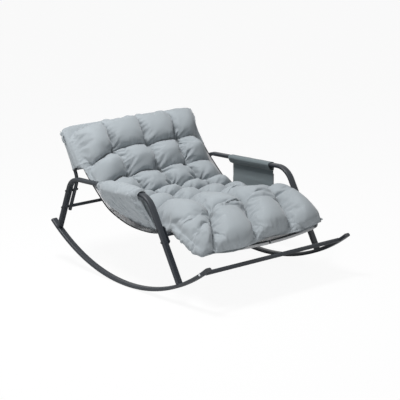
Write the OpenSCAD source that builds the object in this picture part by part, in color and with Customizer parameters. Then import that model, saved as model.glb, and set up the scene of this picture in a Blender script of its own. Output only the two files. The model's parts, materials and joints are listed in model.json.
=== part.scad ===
// Double rocking chair. Two side frames of flat oval tube stand on curved rails, round tubes
// and cross bars bolt between them, and a mesh sling hangs from the back bar to the front bar.
// One long tufted cushion lies on the sling, hooded over the back and lapped over the left
// armrest, and a cloth pocket hangs on the right armrest.
// Origin: on the floor under the lowest point of the rails, midway between them.
// X runs across the chair, the sitter faces -Y, and Z is up. Lengths are in millimetres.

/* [Side frames] */
// Distance between the middle planes of the two side frames
frame_w = 1100; // [1000:10:1300]
// Wide side of the flat oval tube
oval_w = 45; // [38:1:55]
// Narrow side of the flat oval tube
oval_t = 22; // [18:1:26]
// Wall of the flat oval tube
oval_wall = 1.5; // [1.2:0.1:2.5]
// Radius of a rail's centre line
rail_r = 1217; // [1150:1:1300]
// Angle of a rail from its lowest point to its front end
rail_front_angle = 38.1; // [36:0.1:42]
// Angle of a rail from its lowest point to its rear end
rail_rear_angle = 36.9; // [35:0.1:42]
// Height of the armrest's centre line at its front corner
arm_h = 592; // [560:1:640]
// Height that the armrest loses from its front corner to its rear corner
arm_fall = 33; // [0:1:50]
// Distance of the armrest's front corner in front of the origin
arm_front = 221; // [190:1:240]
// Distance of the armrest's rear corner behind the origin
arm_rear = 529; // [500:1:560]
// Lean of the front leg from the vertical
front_lean = 31; // [28:0.5:33]
// Lean of the rear leg from the vertical
rear_lean = 22.5; // [20:0.5:25]
// Centre line radius of the armrest's front bend
arm_front_bend = 130; // [90:1:135]
// Centre line radius of the armrest's rear bend
arm_rear_bend = 100; // [60:1:110]

/* [Back frame] */
// Diameter of the back and seat frame tubes
hoop_d = 22; // [18:1:26]
// Wall of the round tubes
hoop_wall = 1.5; // [1.2:0.1:2]
// Length of the spacers between the legs and the hoops
spacer_l = 11.5; // [8:0.5:16]
// Distance of the top bar behind the origin
back_top_y = 680; // [660:1:720]
// Height of the top bar's centre line
back_top_z = 831; // [800:1:880]
// Height of the knee where the uprights leave the rear legs
back_knee_z = 545; // [530:1:560]
// Height of the lower ends of the uprights
back_end_z = 337; // [320:1:345]
// Centre line radius of the top corners
back_bend = 60; // [45:1:80]
// Centre line radius of the knees
knee_bend = 90; // [60:1:120]
// Height of the upper bolts of the back frame
back_bolt_z = 474; // [460:1:490]
// Height of the rear cross bar and its bolts
rear_bar_z = 360; // [358:1:370]
// Diameter of the rear and seat cross bars
bar_d = 20; // [16:1:22]

/* [Seat frame] */
// Height of the seat cross bar, which the side tubes are welded to
seat_bar_z = 381; // [379:1:390]
// Distance of the side tubes' centre lines from the planes of the legs' inner sides
seat_inset = 67.5; // [60:0.5:80]
// Rise of the brackets' bolts over the cross bar, and their drop below it
bracket_bolts = 33; // [30:1:38]
// Thickness of the brackets
bracket_t = 5; // [4:0.5:8]
// Width of the brackets along the rail's direction
bracket_w = 30; // [26:1:34]
// Distance of the front bar's corners in front of the origin
seat_front_y = 599; // [580:1:620]
// Height of the front bar's corners
seat_front_z = 320; // [314:1:328]
// Distance from the corners to the tip of the bow's tangents
bow_reach = 91; // [60:1:100]
// Share of the front bar that the bow takes
bow_part = 0.9; // [0.6:0.05:0.95]
// Centre line radius of the seat frame's corners
seat_bend = 55; // [45:1:70]

/* [Front cross bar] */
// Diameter of the front cross bar
front_bar_d = 25; // [20:1:28]
// Angle along the rails from their lowest point to the front cross bar
front_bar_angle = 35.3; // [34:0.1:35.5]

/* [Fasteners] */
// Shank diameter of the bolts
bolt_d = 8; // [6:1:9]
// Clearance between a bolt and its hole, on the diameter
bolt_play = 0.5; // [0.2:0.1:1]
// Head diameter of the bolts
head_d = 15; // [13:1:17]
// Height of the bolt heads
head_h = 4.5; // [3:0.5:6]
// Depth that a bolt reaches into a threaded insert
thread_l = 16; // [12:1:20]
// Width of the cap nuts across their flats
nut_w = 13; // [12:1:15]
// Outer diameter of the spacers
spacer_d = 17; // [14:1:20]
// Length of the threaded inserts and of the plug bodies
insert_l = 24; // [22:1:30]
// Thickness of the flanges on the end plugs
flange_t = 3; // [2:0.5:5]
// Clearance of plugs and inserts in their tubes, on the radius
plug_play = 0.1; // [0.05:0.05:0.3]

/* [Sling] */
// Gap between the sling's edges and the uprights beside them
sling_gap = 9; // [8:0.5:50]
// Thickness of the mesh
sling_t = 2; // [1.5:0.1:3]
// Distance of the top sleeve's ends from the uprights' centre lines
top_sleeve_gap = 75; // [65:1:115]
// Distance of the front sleeve's ends from the side tubes' centre lines
front_sleeve_gap = 60; // [56:1:110]
// Length of the cut-outs at the sling's upper corners
corner_cut = 75; // [60:1:90]
// Opening in the middle of the front sleeve
sleeve_slit = 14; // [8:1:40]
// Width of the side bindings
binding_w = 5; // [4:0.5:6]
// Thickness of the side bindings
binding_t = 5; // [4:0.5:7]

/* [Cushion] */
// Gap between the cushion and the planes of the legs' inner sides
pad_back_gap = 42.5; // [38:0.5:55]
// The same gap between the front legs
pad_seat_gap = 51.5; // [48:0.5:65]
// The same gap in front of them
pad_front_gap = 54.5; // [50:0.5:70]
// Depth of the rounding of the cushion's front corners
pad_corner = 45; // [20:1:60]
// Distance that the cushion's sides pull in below their seams
side_tuck = 44; // [40:1:60]
// Length of bare sling above the cushion
pad_start = 6; // [4:1:12]
// Length of bare sling in front of the cushion
pad_end_gap = 30; // [20:1:50]
// Puffs across the cushion
puffs = 4; // [3:1:5]
// Crown of the puffs at the cushion's upper end
crown_top = 44; // [36:1:60]
// Crown of the puffs on the back
crown_back = 104; // [80:1:120]
// Crown of the puffs at the bend of the lap
crown_lap = 66; // [50:1:80]
// Crown of the puffs on the seat
crown_seat = 150; // [110:1:160]
// Crown of the puffs at the front roll
crown_front = 118; // [90:1:130]
// Crown of the puffs at the cushion's front end
crown_end = 80; // [50:1:95]
// Height of the seams as a share of the crown
seam_share = 0.42; // [0.3:0.02:0.6]
// Height of the outer edges as a share of the crown
edge_share = 0.14; // [0.08:0.02:0.3]
// Height of the tufts as a share of the crown
tuft_share = 0.24; // [0.15:0.02:0.4]
// Length of the hood down the back frame
hood_l = 262; // [220:1:275]
// Thickness of the hood's cloth and wadding
hood_t = 4; // [3:0.5:6]
// Front end of the lap over the left armrest
flap_front = 150; // [140:1:160]
// Rear end of the lap over the left armrest
flap_rear = 240; // [200:1:260]
// Thickness of the wadding over the armrest
flap_t = 22; // [12:1:26]

/* [Pocket] */
// Front end of the pocket along the right armrest
pocket_front = 92; // [60:1:110]
// Rear end of the pocket along the right armrest
pocket_rear = 300; // [260:1:330]
// Drop of the pocket below the armrest's centre line
pocket_drop = 262; // [200:1:300]
// Drop of the loop that goes round the armrest
loop_drop = 42; // [34:1:50]
// Thickness of the pocket's cloth
cloth_t = 2.5; // [2:0.1:4]
// Depth of the pouch from front to back cloth
pouch_t = 24; // [16:1:30]
// Drop of the pouch's mouth below the armrest's centre line
mouth_drop = 66; // [56:1:90]

/* [Hidden] */
$fn = 48;

steel = [0.17, 0.19, 0.21];
plug_grey = [0.12, 0.13, 0.14];
zinc = [0.78, 0.79, 0.80];
mesh_grey = [0.72, 0.72, 0.73];
binding_black = [0.08, 0.08, 0.09];
cloth_grey = [0.62, 0.66, 0.67];
pocket_grey = [0.33, 0.37, 0.38];

// Thin gap that keeps faces which touch from sharing their material
skin_gap = 0.3;
// Weld beads where the straights of a tube meet its bends
bead_l = 1;
bead_gap = 0.03;
bead_rise = 0.05;
$grow = 0;
// Finer circles for the long curves of the rails and the front bar
fine_fn = 240;

// Geometry of a side frame in its own plane, as [y, z]
side_x = frame_w / 2;
rail_centre = [0, oval_t / 2 + rail_r];
rail_top_r = rail_r - oval_t / 2;
arm_front_corner = [-arm_front, arm_h];
arm_rear_corner = [arm_rear, arm_h - arm_fall];
front_leg_dir = [-sin(front_lean), -cos(front_lean)];
rear_leg_dir = [sin(rear_lean), -cos(rear_lean)];
front_leg_l = reach(arm_front_corner, front_leg_dir, rail_centre, rail_top_r) + oval_t;
rear_leg_l = reach(arm_rear_corner, rear_leg_dir, rail_centre, rail_top_r) + oval_t;

// Planes of the hoops and of what lies between them
inner_face_x = side_x - oval_w / 2;
hoop_x = inner_face_x - spacer_l - hoop_d / 2;
hoop_inner_x = hoop_x - hoop_d / 2;
bar_half = hoop_inner_x - skin_gap;
seat_x = inner_face_x - seat_inset;
bracket_x = inner_face_x - bracket_t;
seat_bar_half = bracket_x - skin_gap;
front_bar_half = inner_face_x - skin_gap;
front_bar_at = rail_centre + rail_r * [-sin(front_bar_angle), -cos(front_bar_angle)];

// Paths of the back hoop and of the U-shaped seat frame
back_end = rear_leg_at(back_end_z);
back_knee = rear_leg_at(back_knee_z);
back_top = [back_top_y, back_top_z];
back_path = hoop([back_end, back_knee, back_top]);
back_radii = [0, knee_bend, back_bend, back_bend, knee_bend, 0];
seat_corner = [-seat_front_y, seat_front_z];
seat_bar = front_leg_at(seat_bar_z);

// Width of the sling, and its sleeves round the top bar and the front bar
sling_w = 2 * (hoop_inner_x - sling_gap);
top_sleeve_w = 2 * (hoop_x - top_sleeve_gap);
front_sleeve_w = 2 * (seat_x - front_sleeve_gap);
sleeve_in = hoop_d / 2 + skin_gap;
sleeve_t = sling_t + 0.4;

// Plane of the sling between the seat cross bar and the front bar, tangent to both
bar_lift = bar_d / 2 + skin_gap + sling_t / 2;
hoop_lift = sleeve_in + sleeve_t / 2;
seat_run = seat_corner - seat_bar;
seat_fall = atan2(-seat_run.y, -seat_run.x) - asin((hoop_lift - bar_lift) / norm(seat_run));
seat_dir = [-cos(seat_fall), -sin(seat_fall)];
seat_up = [-sin(seat_fall), cos(seat_fall)];
bow_tip = seat_corner + bow_reach * seat_dir;
bow_angle = atan(bow_reach / seat_x);
bow_room = norm([seat_x, bow_reach]) - seat_bend * tan((90 - bow_angle) / 2);
bow_r = bow_part * bow_room / tan(bow_angle);
bow_apex = bow_tip - seat_dir * bow_r * (1 / cos(bow_angle) - 1);
// The side tubes start low enough at the cross bar to stay under the sling
seat_root = seat_bar + (bar_lift - hoop_lift - skin_gap) * seat_up;
seat_path = [at_x(-seat_x, seat_root), at_x(-seat_x, seat_corner), at_x(0, bow_tip),
    at_x(seat_x, seat_corner), at_x(seat_x, seat_root)];
seat_radii = [0, seat_bend, bow_r, seat_bend, 0];

// Direction of the reclined uprights and of the sling where it leaves the top bar
back_dir = unit(back_knee - back_top);
back_front = [back_dir.y, -back_dir.x];
sling_lean = atan2(back_dir.y, back_dir.x) - 14;
sling_start_dir = [cos(sling_lean), sin(sling_lean)];
sling_start = back_top + hoop_lift * [sling_start_dir.y, -sling_start_dir.x];

// Hand placed knots of the sling, as parts of the way and of the rise from the seat cross bar
// to the top bar
sag_knots = [[0.903, 0.762], [0.811, 0.507], [0.724, 0.32], [0.627, 0.14], [0.56, 0.047],
    [0.464, -0.027], [0.37, -0.071], [0.276, -0.082], [0.184, -0.073], [0.105, -0.042]];
sag_box = back_top - seat_bar;
free_knots = [for (k = sag_knots) seat_bar + [k.x * sag_box.x, k.y * sag_box.y]];
// Last free point of the sling behind the seat cross bar
sling_low = free_knots[len(free_knots) - 1];
sling_before = sling_start - 0.6 * norm(free_knots[0] - sling_start) * sling_start_dir;
sling_knots = concat([sling_before, sling_start], free_knots, [seat_bar + bar_lift * seat_up]);
knot_steps = 6;
// It runs straight to the seat cross bar, round the bar's top, and straight to the front bar
rise_angle = atan2(seat_bar.y - sling_low.y, seat_bar.x - sling_low.x)
    - asin(bar_lift / norm(seat_bar - sling_low));
bar_arc_steps = 4;
sling_line = concat(
    [for (i = [1 : len(sling_knots) - 3]) for (k = [0 : knot_steps - 1])
        spline(sling_knots, i, k / knot_steps)],
    [sling_low],
    [for (k = [0 : bar_arc_steps])
        let (a = rise_angle + (180 + seat_fall - rise_angle) * k / bar_arc_steps)
        seat_bar + bar_lift * [sin(a), -cos(a)]],
    [bow_tip + hoop_lift * seat_up]);
sling_length = lengths(sling_line);
bar_station = sling_length[len(sling_length) - 2];
end_station = sling_length[len(sling_length) - 1];
y_table = [for (i = [0 : len(sling_line) - 1]) [sling_length[i], sling_line[i].x]];
z_table = [for (i = [0 : len(sling_line) - 1]) [sling_length[i], sling_line[i].y]];

// Distance along the sling of each row of tufts, with the ends of the cushion. What lies
// between the ends is given as a part of the way to the seat cross bar.
function stations(pairs) = [for (p = pairs) [p[0] * bar_station, p[1]]];
pad_end = end_station - pad_end_gap;
row_stations = concat([[0, pad_start]],
    [for (r = [[1, 0.168], [2, 0.332], [3, 0.484], [4, 0.623], [5, 0.82], [5.8, 1], [6, 1.04]])
        [r[0], r[1] * bar_station]],
    [[7, pad_end]]);
crowns = concat(stations([[0, crown_top], [0.05, 0.9 * crown_back], [0.148, crown_back],
    [0.27, crown_back], [0.37, crown_lap], [0.492, 1.06 * crown_lap],
    [0.607, 0.75 * crown_seat], [0.738, crown_seat], [0.919, crown_seat],
    [1.009, 0.92 * crown_seat], [1.066, crown_front], [1.148, 0.9 * crown_front]]),
    [[pad_end, crown_end]]);
pad_back_x = inner_face_x - pad_back_gap;
pad_seat_x = inner_face_x - pad_seat_gap;
pad_front_x = inner_face_x - pad_front_gap;
hood_in = sleeve_in + sleeve_t + skin_gap;
hood_half = hoop_x + hoop_d / 2 + skin_gap;
pad_top_x = hood_half - 1;
gusset_lap = 16;
half_widths = concat([[0, pad_top_x], [hood_l, pad_top_x], [1.27 * hood_l, pad_back_x]],
    stations([[0.853, pad_back_x], [0.911, pad_seat_x], [1.042, pad_seat_x],
        [1.107, pad_front_x]]),
    [[pad_end - pad_corner, pad_front_x], [pad_end, pad_front_x - pad_corner]]);
row_steps = 5;
puff_steps = 6;
pad_lift = sling_t / 2 + skin_gap;

function unit(v) = v / norm(v);
// Length of the ray from p along d until it meets the circle of radius r about c
function reach(p, d, c, r) =
    let (f = p - c, b = f * d) -b + sqrt(b * b - f * f + r * r);
function at_x(x, p) = [x, p.x, p.y];
function front_leg_at(z) =
    arm_front_corner + front_leg_dir * (z - arm_front_corner.y) / front_leg_dir.y;
function rear_leg_at(z) =
    arm_rear_corner + rear_leg_dir * (z - arm_rear_corner.y) / rear_leg_dir.y;
// Height of the armrest's centre line at a distance y behind the origin
function arm_z(y) = arm_h - arm_fall * (y + arm_front) / (arm_rear + arm_front);
// A hoop: the same points up the left side and down the right side
function hoop(p) = concat([for (q = p) at_x(-hoop_x, q)],
    [for (i = [len(p) - 1 : -1 : 0]) at_x(hoop_x, p[i])]);
function spline(p, i, t) = 0.5 * (2 * p[i] + (p[i + 1] - p[i - 1]) * t
    + (2 * p[i - 1] - 5 * p[i] + 4 * p[i + 1] - p[i + 2]) * t * t
    + (3 * p[i] - p[i - 1] - 3 * p[i + 1] + p[i + 2]) * t * t * t);
function lengths(p) = [for (i = 0, s = 0; i < len(p);
    s = s + (i + 1 < len(p) ? norm(p[i + 1] - p[i]) : 0), i = i + 1) s];
// Point and normal of the sling's middle surface at a distance along it
function sling_at(s) = [lookup(s, y_table), lookup(s, z_table)];
function sling_up(s) =
    let (d = unit(sling_at(s + 6) - sling_at(s - 6))) [d.y, -d.x];
// Height of the sling's middle surface at a distance y behind the origin
function sling_z(y) = lookup(y, [for (i = [len(sling_line) - 1 : -1 : 0]) sling_line[i]]);
// Line moved sideways by d, each point along the bisector of its two neighbours
function moved(p, d) = [for (i = [0 : len(p) - 1])
    let (t = unit(p[min(i + 1, len(p) - 1)] - p[max(i - 1, 0)])) p[i] + d * [t.y, -t.x]];
function reversed(p) = [for (i = [len(p) - 1 : -1 : 0]) p[i]];

// Angle and set back of the bend at corner i of a path
function turn(p, i) = acos(unit(p[i] - p[i - 1]) * unit(p[i + 1] - p[i]));
function set_back(p, r, i) =
    i == 0 || i == len(p) - 1 ? 0 : r[i] * tan(turn(p, i) / 2);

// Places a child by its three axes and its origin
module place(x, y, z, o) {
    multmatrix([[x.x, y.x, z.x, o.x], [x.y, y.y, z.y, o.y], [x.z, y.z, z.z, o.z],
        [0, 0, 0, 1]]) children();
}

// Sweeps a section along straights and round the bends of a path. On the straights the
// section's Y lies along side, and in the bends it lies along the axis of the bend. The
// straights stop a hair short of the bends, and a narrow weld bead closes each of the joints.
module sweep(p, r, side) {
    for (i = [0 : len(p) - 2]) {
        d = unit(p[i + 1] - p[i]);
        s = unit(side - d * (side * d));
        first = set_back(p, r, i);
        run = norm(p[i + 1] - p[i]) - first - set_back(p, r, i + 1);
        place(cross(s, d), s, d, p[i] + d * first) {
            a = i == 0 ? 0 : bead_gap;
            b = i == len(p) - 2 ? 0 : bead_gap;
            translate([0, 0, a]) linear_extrude(run - a - b) children();
            for (z = [if (i > 0) 0, if (i < len(p) - 2) run])
                translate([0, 0, z - bead_l / 2]) linear_extrude(bead_l) bead() children();
        }
    }
    for (i = [1 : len(p) - 2]) {
        d = unit(p[i] - p[i - 1]);
        n = unit(cross(d, p[i + 1] - p[i]));
        inwards = cross(n, d);
        centre = p[i] - d * set_back(p, r, i) + inwards * r[i];
        place(-inwards, d, n, centre)
            rotate_extrude(angle = turn(p, i), $fn = r[i] > 500 ? fine_fn : $fn)
                translate([r[i], 0]) children();
    }
}

// Grows the sections that are drawn with $grow
module bead() {
    $grow = bead_rise;
    children();
}

// Turns drawings made as [y, z] into the side plane, with their thickness along X
module side_plane() { rotate([90, 0, 90]) children(); }

// A cylinder along X that starts at x on the plane point p and runs for l
module along_x(d, x, l, p) {
    translate([x, p.x, p.y]) rotate([0, 90, 0]) cylinder(d = d, h = l);
}

module both_sides() { children(); mirror([1, 0, 0]) children(); }

// Section of the flat oval tube, shrunk all round by inset
module oval_section(inset) {
    t = oval_t - 2 * inset;
    flat = oval_w - oval_t;
    square([t, flat], center = true);
    for (y = [-flat / 2, flat / 2]) translate([0, y]) circle(d = t);
}

// Section of a round tube with inner radius a and outer radius b
module round_section(a, b) {
    difference() {
        circle(r = b + $grow);
        circle(r = a - $grow);
    }
}

module tube(p, r, d, wall) {
    sweep(p, r, [0, 1, 0.5]) round_section(d / 2 - wall, d / 2);
}

module straight_tube(d, wall, half, p) {
    difference() {
        along_x(d, -half, 2 * half, p);
        along_x(d - 2 * wall, -half - 1, 2 * half + 2, p);
    }
}

module rail_ring(inset, extra) {
    side_plane() translate(rail_centre)
        rotate(-90 - rail_front_angle - extra)
            rotate_extrude(angle = rail_front_angle + rail_rear_angle + 2 * extra, $fn = fine_fn)
                translate([rail_r, 0]) oval_section(inset);
}

module rocker_rail(x) {
    color(steel) difference() {
        translate([x, 0, 0]) rail_ring(0, 0);
        translate([x, 0, 0]) rail_ring(oval_wall, 0.2);
        along_x(bolt_d + bolt_play, x - oval_w, 2 * oval_w, front_bar_at);
    }
}
module rocker_rail_left() { rocker_rail(-side_x); }
module rocker_rail_right() { rocker_rail(side_x); }

// A plug in the end of each rail, at an angle from the rail's lowest point
module rail_plug(angle, outwards) {
    side_plane() translate(rail_centre) rotate(-90 + angle) translate([rail_r, 0])
        rotate([outwards * -90, 0, 0]) {
            linear_extrude(flange_t) oval_section(0);
            translate([0, 0, flange_t]) linear_extrude(flange_t / 3) oval_section(flange_t / 3);
            translate([0, 0, -insert_l]) linear_extrude(insert_l)
                oval_section(oval_wall + plug_play + 0.15);
        }
}
module rail_plugs_front() {
    color(plug_grey) both_sides() translate([side_x, 0, 0]) rail_plug(-rail_front_angle, -1);
}
module rail_plugs_rear() {
    color(plug_grey) both_sides() translate([side_x, 0, 0]) rail_plug(rail_rear_angle, 1);
}

arm_path = [at_x(0, arm_front_corner + front_leg_dir * front_leg_l),
    at_x(0, arm_front_corner), at_x(0, arm_rear_corner),
    at_x(0, arm_rear_corner + rear_leg_dir * rear_leg_l)];
arm_radii = [0, arm_front_bend, arm_rear_bend, 0];
leg_bolts = [front_leg_at(seat_bar_z - bracket_bolts),
    front_leg_at(seat_bar_z + bracket_bolts), rear_leg_at(rear_bar_z),
    rear_leg_at(back_bolt_z)];

// One tube bent into front leg, armrest and rear leg, with its ends cut to the rail's top
module arm_loop(x) {
    color(steel) difference() {
        intersection() {
            translate([x, 0, 0]) sweep(arm_path, arm_radii, [1, 0, 0]) difference() {
                oval_section(-$grow);
                oval_section(oval_wall + $grow);
            }
            along_x(2 * rail_top_r, x - oval_w, 2 * oval_w, rail_centre, $fn = fine_fn);
        }
        for (p = leg_bolts) along_x(bolt_d + bolt_play, x - oval_w, 2 * oval_w, p);
    }
}
module arm_loop_left() { arm_loop(-side_x); }
module arm_loop_right() { arm_loop(side_x); }

// Threaded inserts pressed into both ends of a cross bar
module bar_inserts(d, half, p) {
    both_sides() difference() {
        along_x(d - 2 * hoop_wall - 2 * plug_play, half - insert_l, insert_l, p);
        along_x(bolt_d + 0.1, half - insert_l - 1, insert_l + 2, p);
    }
}

// A bolt whose head bears on the outer side of a side frame, of shank length l
module side_bolt(l, p) {
    head_x = side_x + oval_w / 2;
    along_x(bolt_d, head_x - l, l + 1, p);
    along_x(head_d, head_x, head_h * 0.6, p);
    translate([head_x + head_h * 0.6, p.x, p.y]) rotate([0, 90, 0])
        cylinder(d1 = head_d, d2 = head_d * 0.7, h = head_h * 0.4);
}

module front_crossbar() {
    color(steel) straight_tube(front_bar_d, hoop_wall, front_bar_half, front_bar_at);
}
module front_crossbar_inserts() {
    color(zinc) bar_inserts(front_bar_d, front_bar_half, front_bar_at);
}
module front_crossbar_bolts() {
    color(zinc) both_sides() side_bolt(oval_w + skin_gap + thread_l, front_bar_at);
}

through_l = oval_w + spacer_l + hoop_d;

module hoop_holes(points) {
    for (p = points) along_x(bolt_d + bolt_play, -side_x, 2 * side_x, p);
}
module back_frame() {
    color(steel) difference() {
        tube(back_path, back_radii, hoop_d, hoop_wall);
        hoop_holes([leg_bolts[2], leg_bolts[3]]);
    }
}
module seat_frame() {
    color(steel) difference() {
        tube(seat_path, seat_radii, hoop_d, hoop_wall);
        along_x(bar_d, -side_x, 2 * side_x, seat_bar);
    }
}

// A round plug in the open end of a hoop, which points from the path along dir
module hoop_plug(end, dir) {
    side_plane() translate([end.x, end.y, 0]) rotate(atan2(dir.y, dir.x)) rotate([0, 90, 0]) {
        cylinder(d = hoop_d, h = flange_t);
        translate([0, 0, -insert_l / 2])
            cylinder(d = hoop_d - 2 * hoop_wall - 2 * plug_play, h = insert_l / 2);
    }
}
module back_frame_plugs() {
    color(plug_grey) both_sides() translate([hoop_x, 0, 0])
        hoop_plug(back_end, back_end - back_knee);
}

module spacers(points) {
    both_sides() for (p = points) difference() {
        along_x(spacer_d, inner_face_x - spacer_l, spacer_l, p);
        along_x(bolt_d + bolt_play, inner_face_x - spacer_l - 1, spacer_l + 2, p);
    }
}
module back_spacers() { color(plug_grey) spacers([leg_bolts[2], leg_bolts[3]]); }

// Plates on the legs' inner sides that carry the seat cross bar
module seat_brackets() {
    run = leg_bolts[1] - leg_bolts[0];
    color(steel) both_sides() difference() {
        translate([bracket_x, 0, 0]) side_plane() linear_extrude(bracket_t) {
            for (p = [leg_bolts[0], leg_bolts[1]]) translate(p) circle(d = bracket_w);
            translate(leg_bolts[0]) rotate(atan2(run.y, run.x)) translate([0, -bracket_w / 2])
                square([norm(run), bracket_w]);
        }
        hoop_holes([leg_bolts[0], leg_bolts[1]]);
    }
}

nut_l = 7;
// A cap nut that bears on the inner side of a piece at x
module cap_nut(x, p) {
    both_sides() difference() {
        union() {
            translate([x - nut_l, p.x, p.y]) rotate([0, 90, 0])
                cylinder(d = nut_w / cos(30), h = nut_l, $fn = 6);
            translate([x - nut_l, p.x, p.y]) sphere(d = nut_w - 1.5);
        }
        along_x(bolt_d + 0.1, x - nut_l, nut_l + 1, p);
    }
}
module back_cap_nuts() { color(steel) cap_nut(hoop_inner_x, leg_bolts[3]); }
module seat_cap_nuts() {
    color(steel) for (p = [leg_bolts[0], leg_bolts[1]]) cap_nut(bracket_x, p);
}
module back_upper_bolts() {
    color(steel) both_sides() side_bolt(through_l + nut_l - 1, leg_bolts[3]);
}
module bracket_bolt(p) { both_sides() side_bolt(oval_w + bracket_t + nut_l - 1, p); }
module seat_upper_bolts() { color(steel) bracket_bolt(leg_bolts[1]); }
module back_lower_bolts() {
    color(steel) both_sides() side_bolt(through_l + skin_gap + thread_l, leg_bolts[2]);
}
module seat_lower_bolts() { color(steel) bracket_bolt(leg_bolts[0]); }

module rear_crossbar() { color(steel) straight_tube(bar_d, hoop_wall, bar_half, leg_bolts[2]); }
module rear_crossbar_inserts() { color(zinc) bar_inserts(bar_d, bar_half, leg_bolts[2]); }
module seat_crossbar() { color(steel) straight_tube(bar_d, hoop_wall, seat_bar_half, seat_bar); }

// Upright cylinder that trims flat cloth to the bow of the front bar
module behind_bow(more) {
    translate([0, bow_apex.x + bow_r, 0]) cylinder(r = bow_r + more, h = 2 * arm_h, $fn = fine_fn);
}

// Strip of the sling's line, w wide from x, with its upper corners cut clear of the hoop
module sling_strip(t, x, w) {
    corner = sling_at(corner_cut);
    difference() {
        translate([x, 0, 0]) side_plane() linear_extrude(w)
            polygon(concat(moved(sling_line, -t / 2), reversed(moved(sling_line, t / 2))));
        both_sides() translate([top_sleeve_w / 2, corner.x - arm_h / 2, corner.y])
            cube([frame_w, frame_w, arm_h]);
    }
}

// Keeps the two halves of what goes along the front bar, open in its middle
module front_halves() {
    intersection() {
        children();
        both_sides() translate([sleeve_slit / 2, -2 * seat_front_y, 0])
            cube([(front_sleeve_w - sleeve_slit) / 2, 2 * seat_front_y, arm_h]);
    }
}

// The straight and bowed parts of the front bar, moved by m
module along_bow(m) {
    path = [for (i = [1 : 3]) seat_path[i] + m];
    trim = (path[1] - path[0]) * (1 - front_sleeve_w / 2 / seat_x) / 2;
    sweep([path[0] + trim, path[1], path[2] + [-trim.x, trim.y, trim.z]], [0, bow_r, 0],
        [0, 1, 0.5]) children();
}
module sling() {
    color(mesh_grey) {
        intersection() {
            sling_strip(sling_t, -sling_w / 2, sling_w);
            behind_bow(0);
        }
        difference() {
            along_x(2 * (sleeve_in + sleeve_t), -top_sleeve_w / 2, top_sleeve_w, back_top);
            along_x(2 * sleeve_in, -top_sleeve_w / 2 - 1, top_sleeve_w + 2, back_top);
        }
        front_halves() along_bow([0, 0, 0]) round_section(sleeve_in, sleeve_in + sleeve_t);
    }
}
module binding() {
    intersection() {
        sling_strip(binding_t, sling_w / 2, binding_w);
        behind_bow(-hoop_d);
    }
}
module sling_binding_right() { color(binding_black) binding(); }
module sling_binding_left() { color(binding_black) mirror([1, 0, 0]) binding(); }

// Dark flat cord along the seam above the front sleeve
front_cord_d = 4;
module sling_front_binding() {
    seam = unit(0.8 * seat_dir + 0.6 * seat_up) * (sleeve_in + sleeve_t + skin_gap
        + front_cord_d / sqrt(2));
    color(binding_black) front_halves() along_bow([0, seam.x, seam.y])
        square(front_cord_d + 2 * $grow, center = true);
}

// Rise of a puff over its seams, for a column and a row coordinate that are whole at the
// seams. The outer puffs slope down to the thin edges of the cushion.
function edge_near(u) = min(u, puffs - u);
function puff(u, v) = pow(abs(sin(180 * u)), edge_near(u) < 0.5 ? 1.4 : 0.5)
    * sqrt(abs(sin(180 * v)));
function seam_height(u) = edge_share + (seam_share - edge_share) * min(1, edge_near(u));
function near_tuft(u, v) = let (du = u - round(u), dv = v - round(v))
    round(u) > 0 && round(u) < puffs && round(v) > 0 && round(v) < 7
    ? exp(-(du * du + dv * dv) / 0.03) : 0;
function pad_height(u, v) = let (k = seam_height(u)
        - (seam_share - tuft_share) * near_tuft(u, v))
    lookup(lookup(v, row_stations), crowns) * (k + (1 - k) * puff(u, v));
function pad_point(x, h, s) = let (p = sling_at(s) + (pad_lift + h) * sling_up(s))
    [x, p.x, p.y];
// Ring of the cushion at row coordinate v: over the puffs, then back along the sling
function pad_ring(v) = let (s = lookup(v, row_stations), w = lookup(s, half_widths))
    concat([for (k = [0 : puffs * puff_steps]) let (u = k / puff_steps)
            pad_point(w * (2 * u / puffs - 1), pad_height(u, v), s)],
        [pad_point(w - side_tuck, 0, s), pad_point(0, 0, s), pad_point(side_tuck - w, 0, s)]);
pad_rings = [for (k = [0 : 7 * row_steps]) pad_ring(k / row_steps)];

// Skin of n rings with m points each, closed at both ends by fans from their point c
function loft_faces(n, m, c) = concat(
    [for (i = [0 : n - 2]) for (j = [0 : m - 1])
        let (a = i * m + j, b = i * m + (j + 1) % m) each [[a, b, b + m], [a, b + m, a + m]]],
    [for (j = [1 : m - 2]) let (a = (c + j) % m, b = (c + j + 1) % m) [c, b, a]],
    [for (j = [1 : m - 2]) let (a = (c + j) % m, b = (c + j + 1) % m, e = (n - 1) * m)
        [e + c, e + a, e + b]]);
module loft(rings, c) {
    polyhedron(points = [for (ring = rings) each ring],
        faces = loft_faces(len(rings), len(rings[0]), c));
}

module cushion_pad() { color(cloth_grey) loft(pad_rings, len(pad_rings[0]) - 2); }

// Hood: a back panel, a fold over the top bar and two side gussets, open below. The pad
// closes its front.
function over_sling(s, h) = sling_at(s) + h * sling_up(s);
module hood_outline(r) {
    far = hood_l * back_dir;
    translate(back_top) circle(r = r);
    polygon([back_top - r * back_front, back_top - r * back_front + far,
        over_sling(hood_l, -pad_lift), over_sling(hood_l / 2, -pad_lift), sling_start]);
}
module cushion_hood() {
    color(cloth_grey) side_plane() {
        translate([0, 0, -hood_half]) linear_extrude(2 * hood_half) difference() {
            hood_outline(hood_in + hood_t);
            hood_outline(hood_in);
            polygon([over_sling(3, -3), over_sling(60, -pad_lift), over_sling(60, 60),
                over_sling(3, 60)]);
        }
        for (x = [-hood_half - hood_t, hood_half]) translate([0, 0, x]) linear_extrude(hood_t) {
            hood_outline(hood_in + hood_t);
            polygon([for (k = [0 : 6]) over_sling(8 + (hood_l - 8) * k / 6, gusset_lap),
                for (k = [6 : -1 : 0]) over_sling(8 + (hood_l - 8) * k / 6, -5)]);
        }
    }
}

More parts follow.
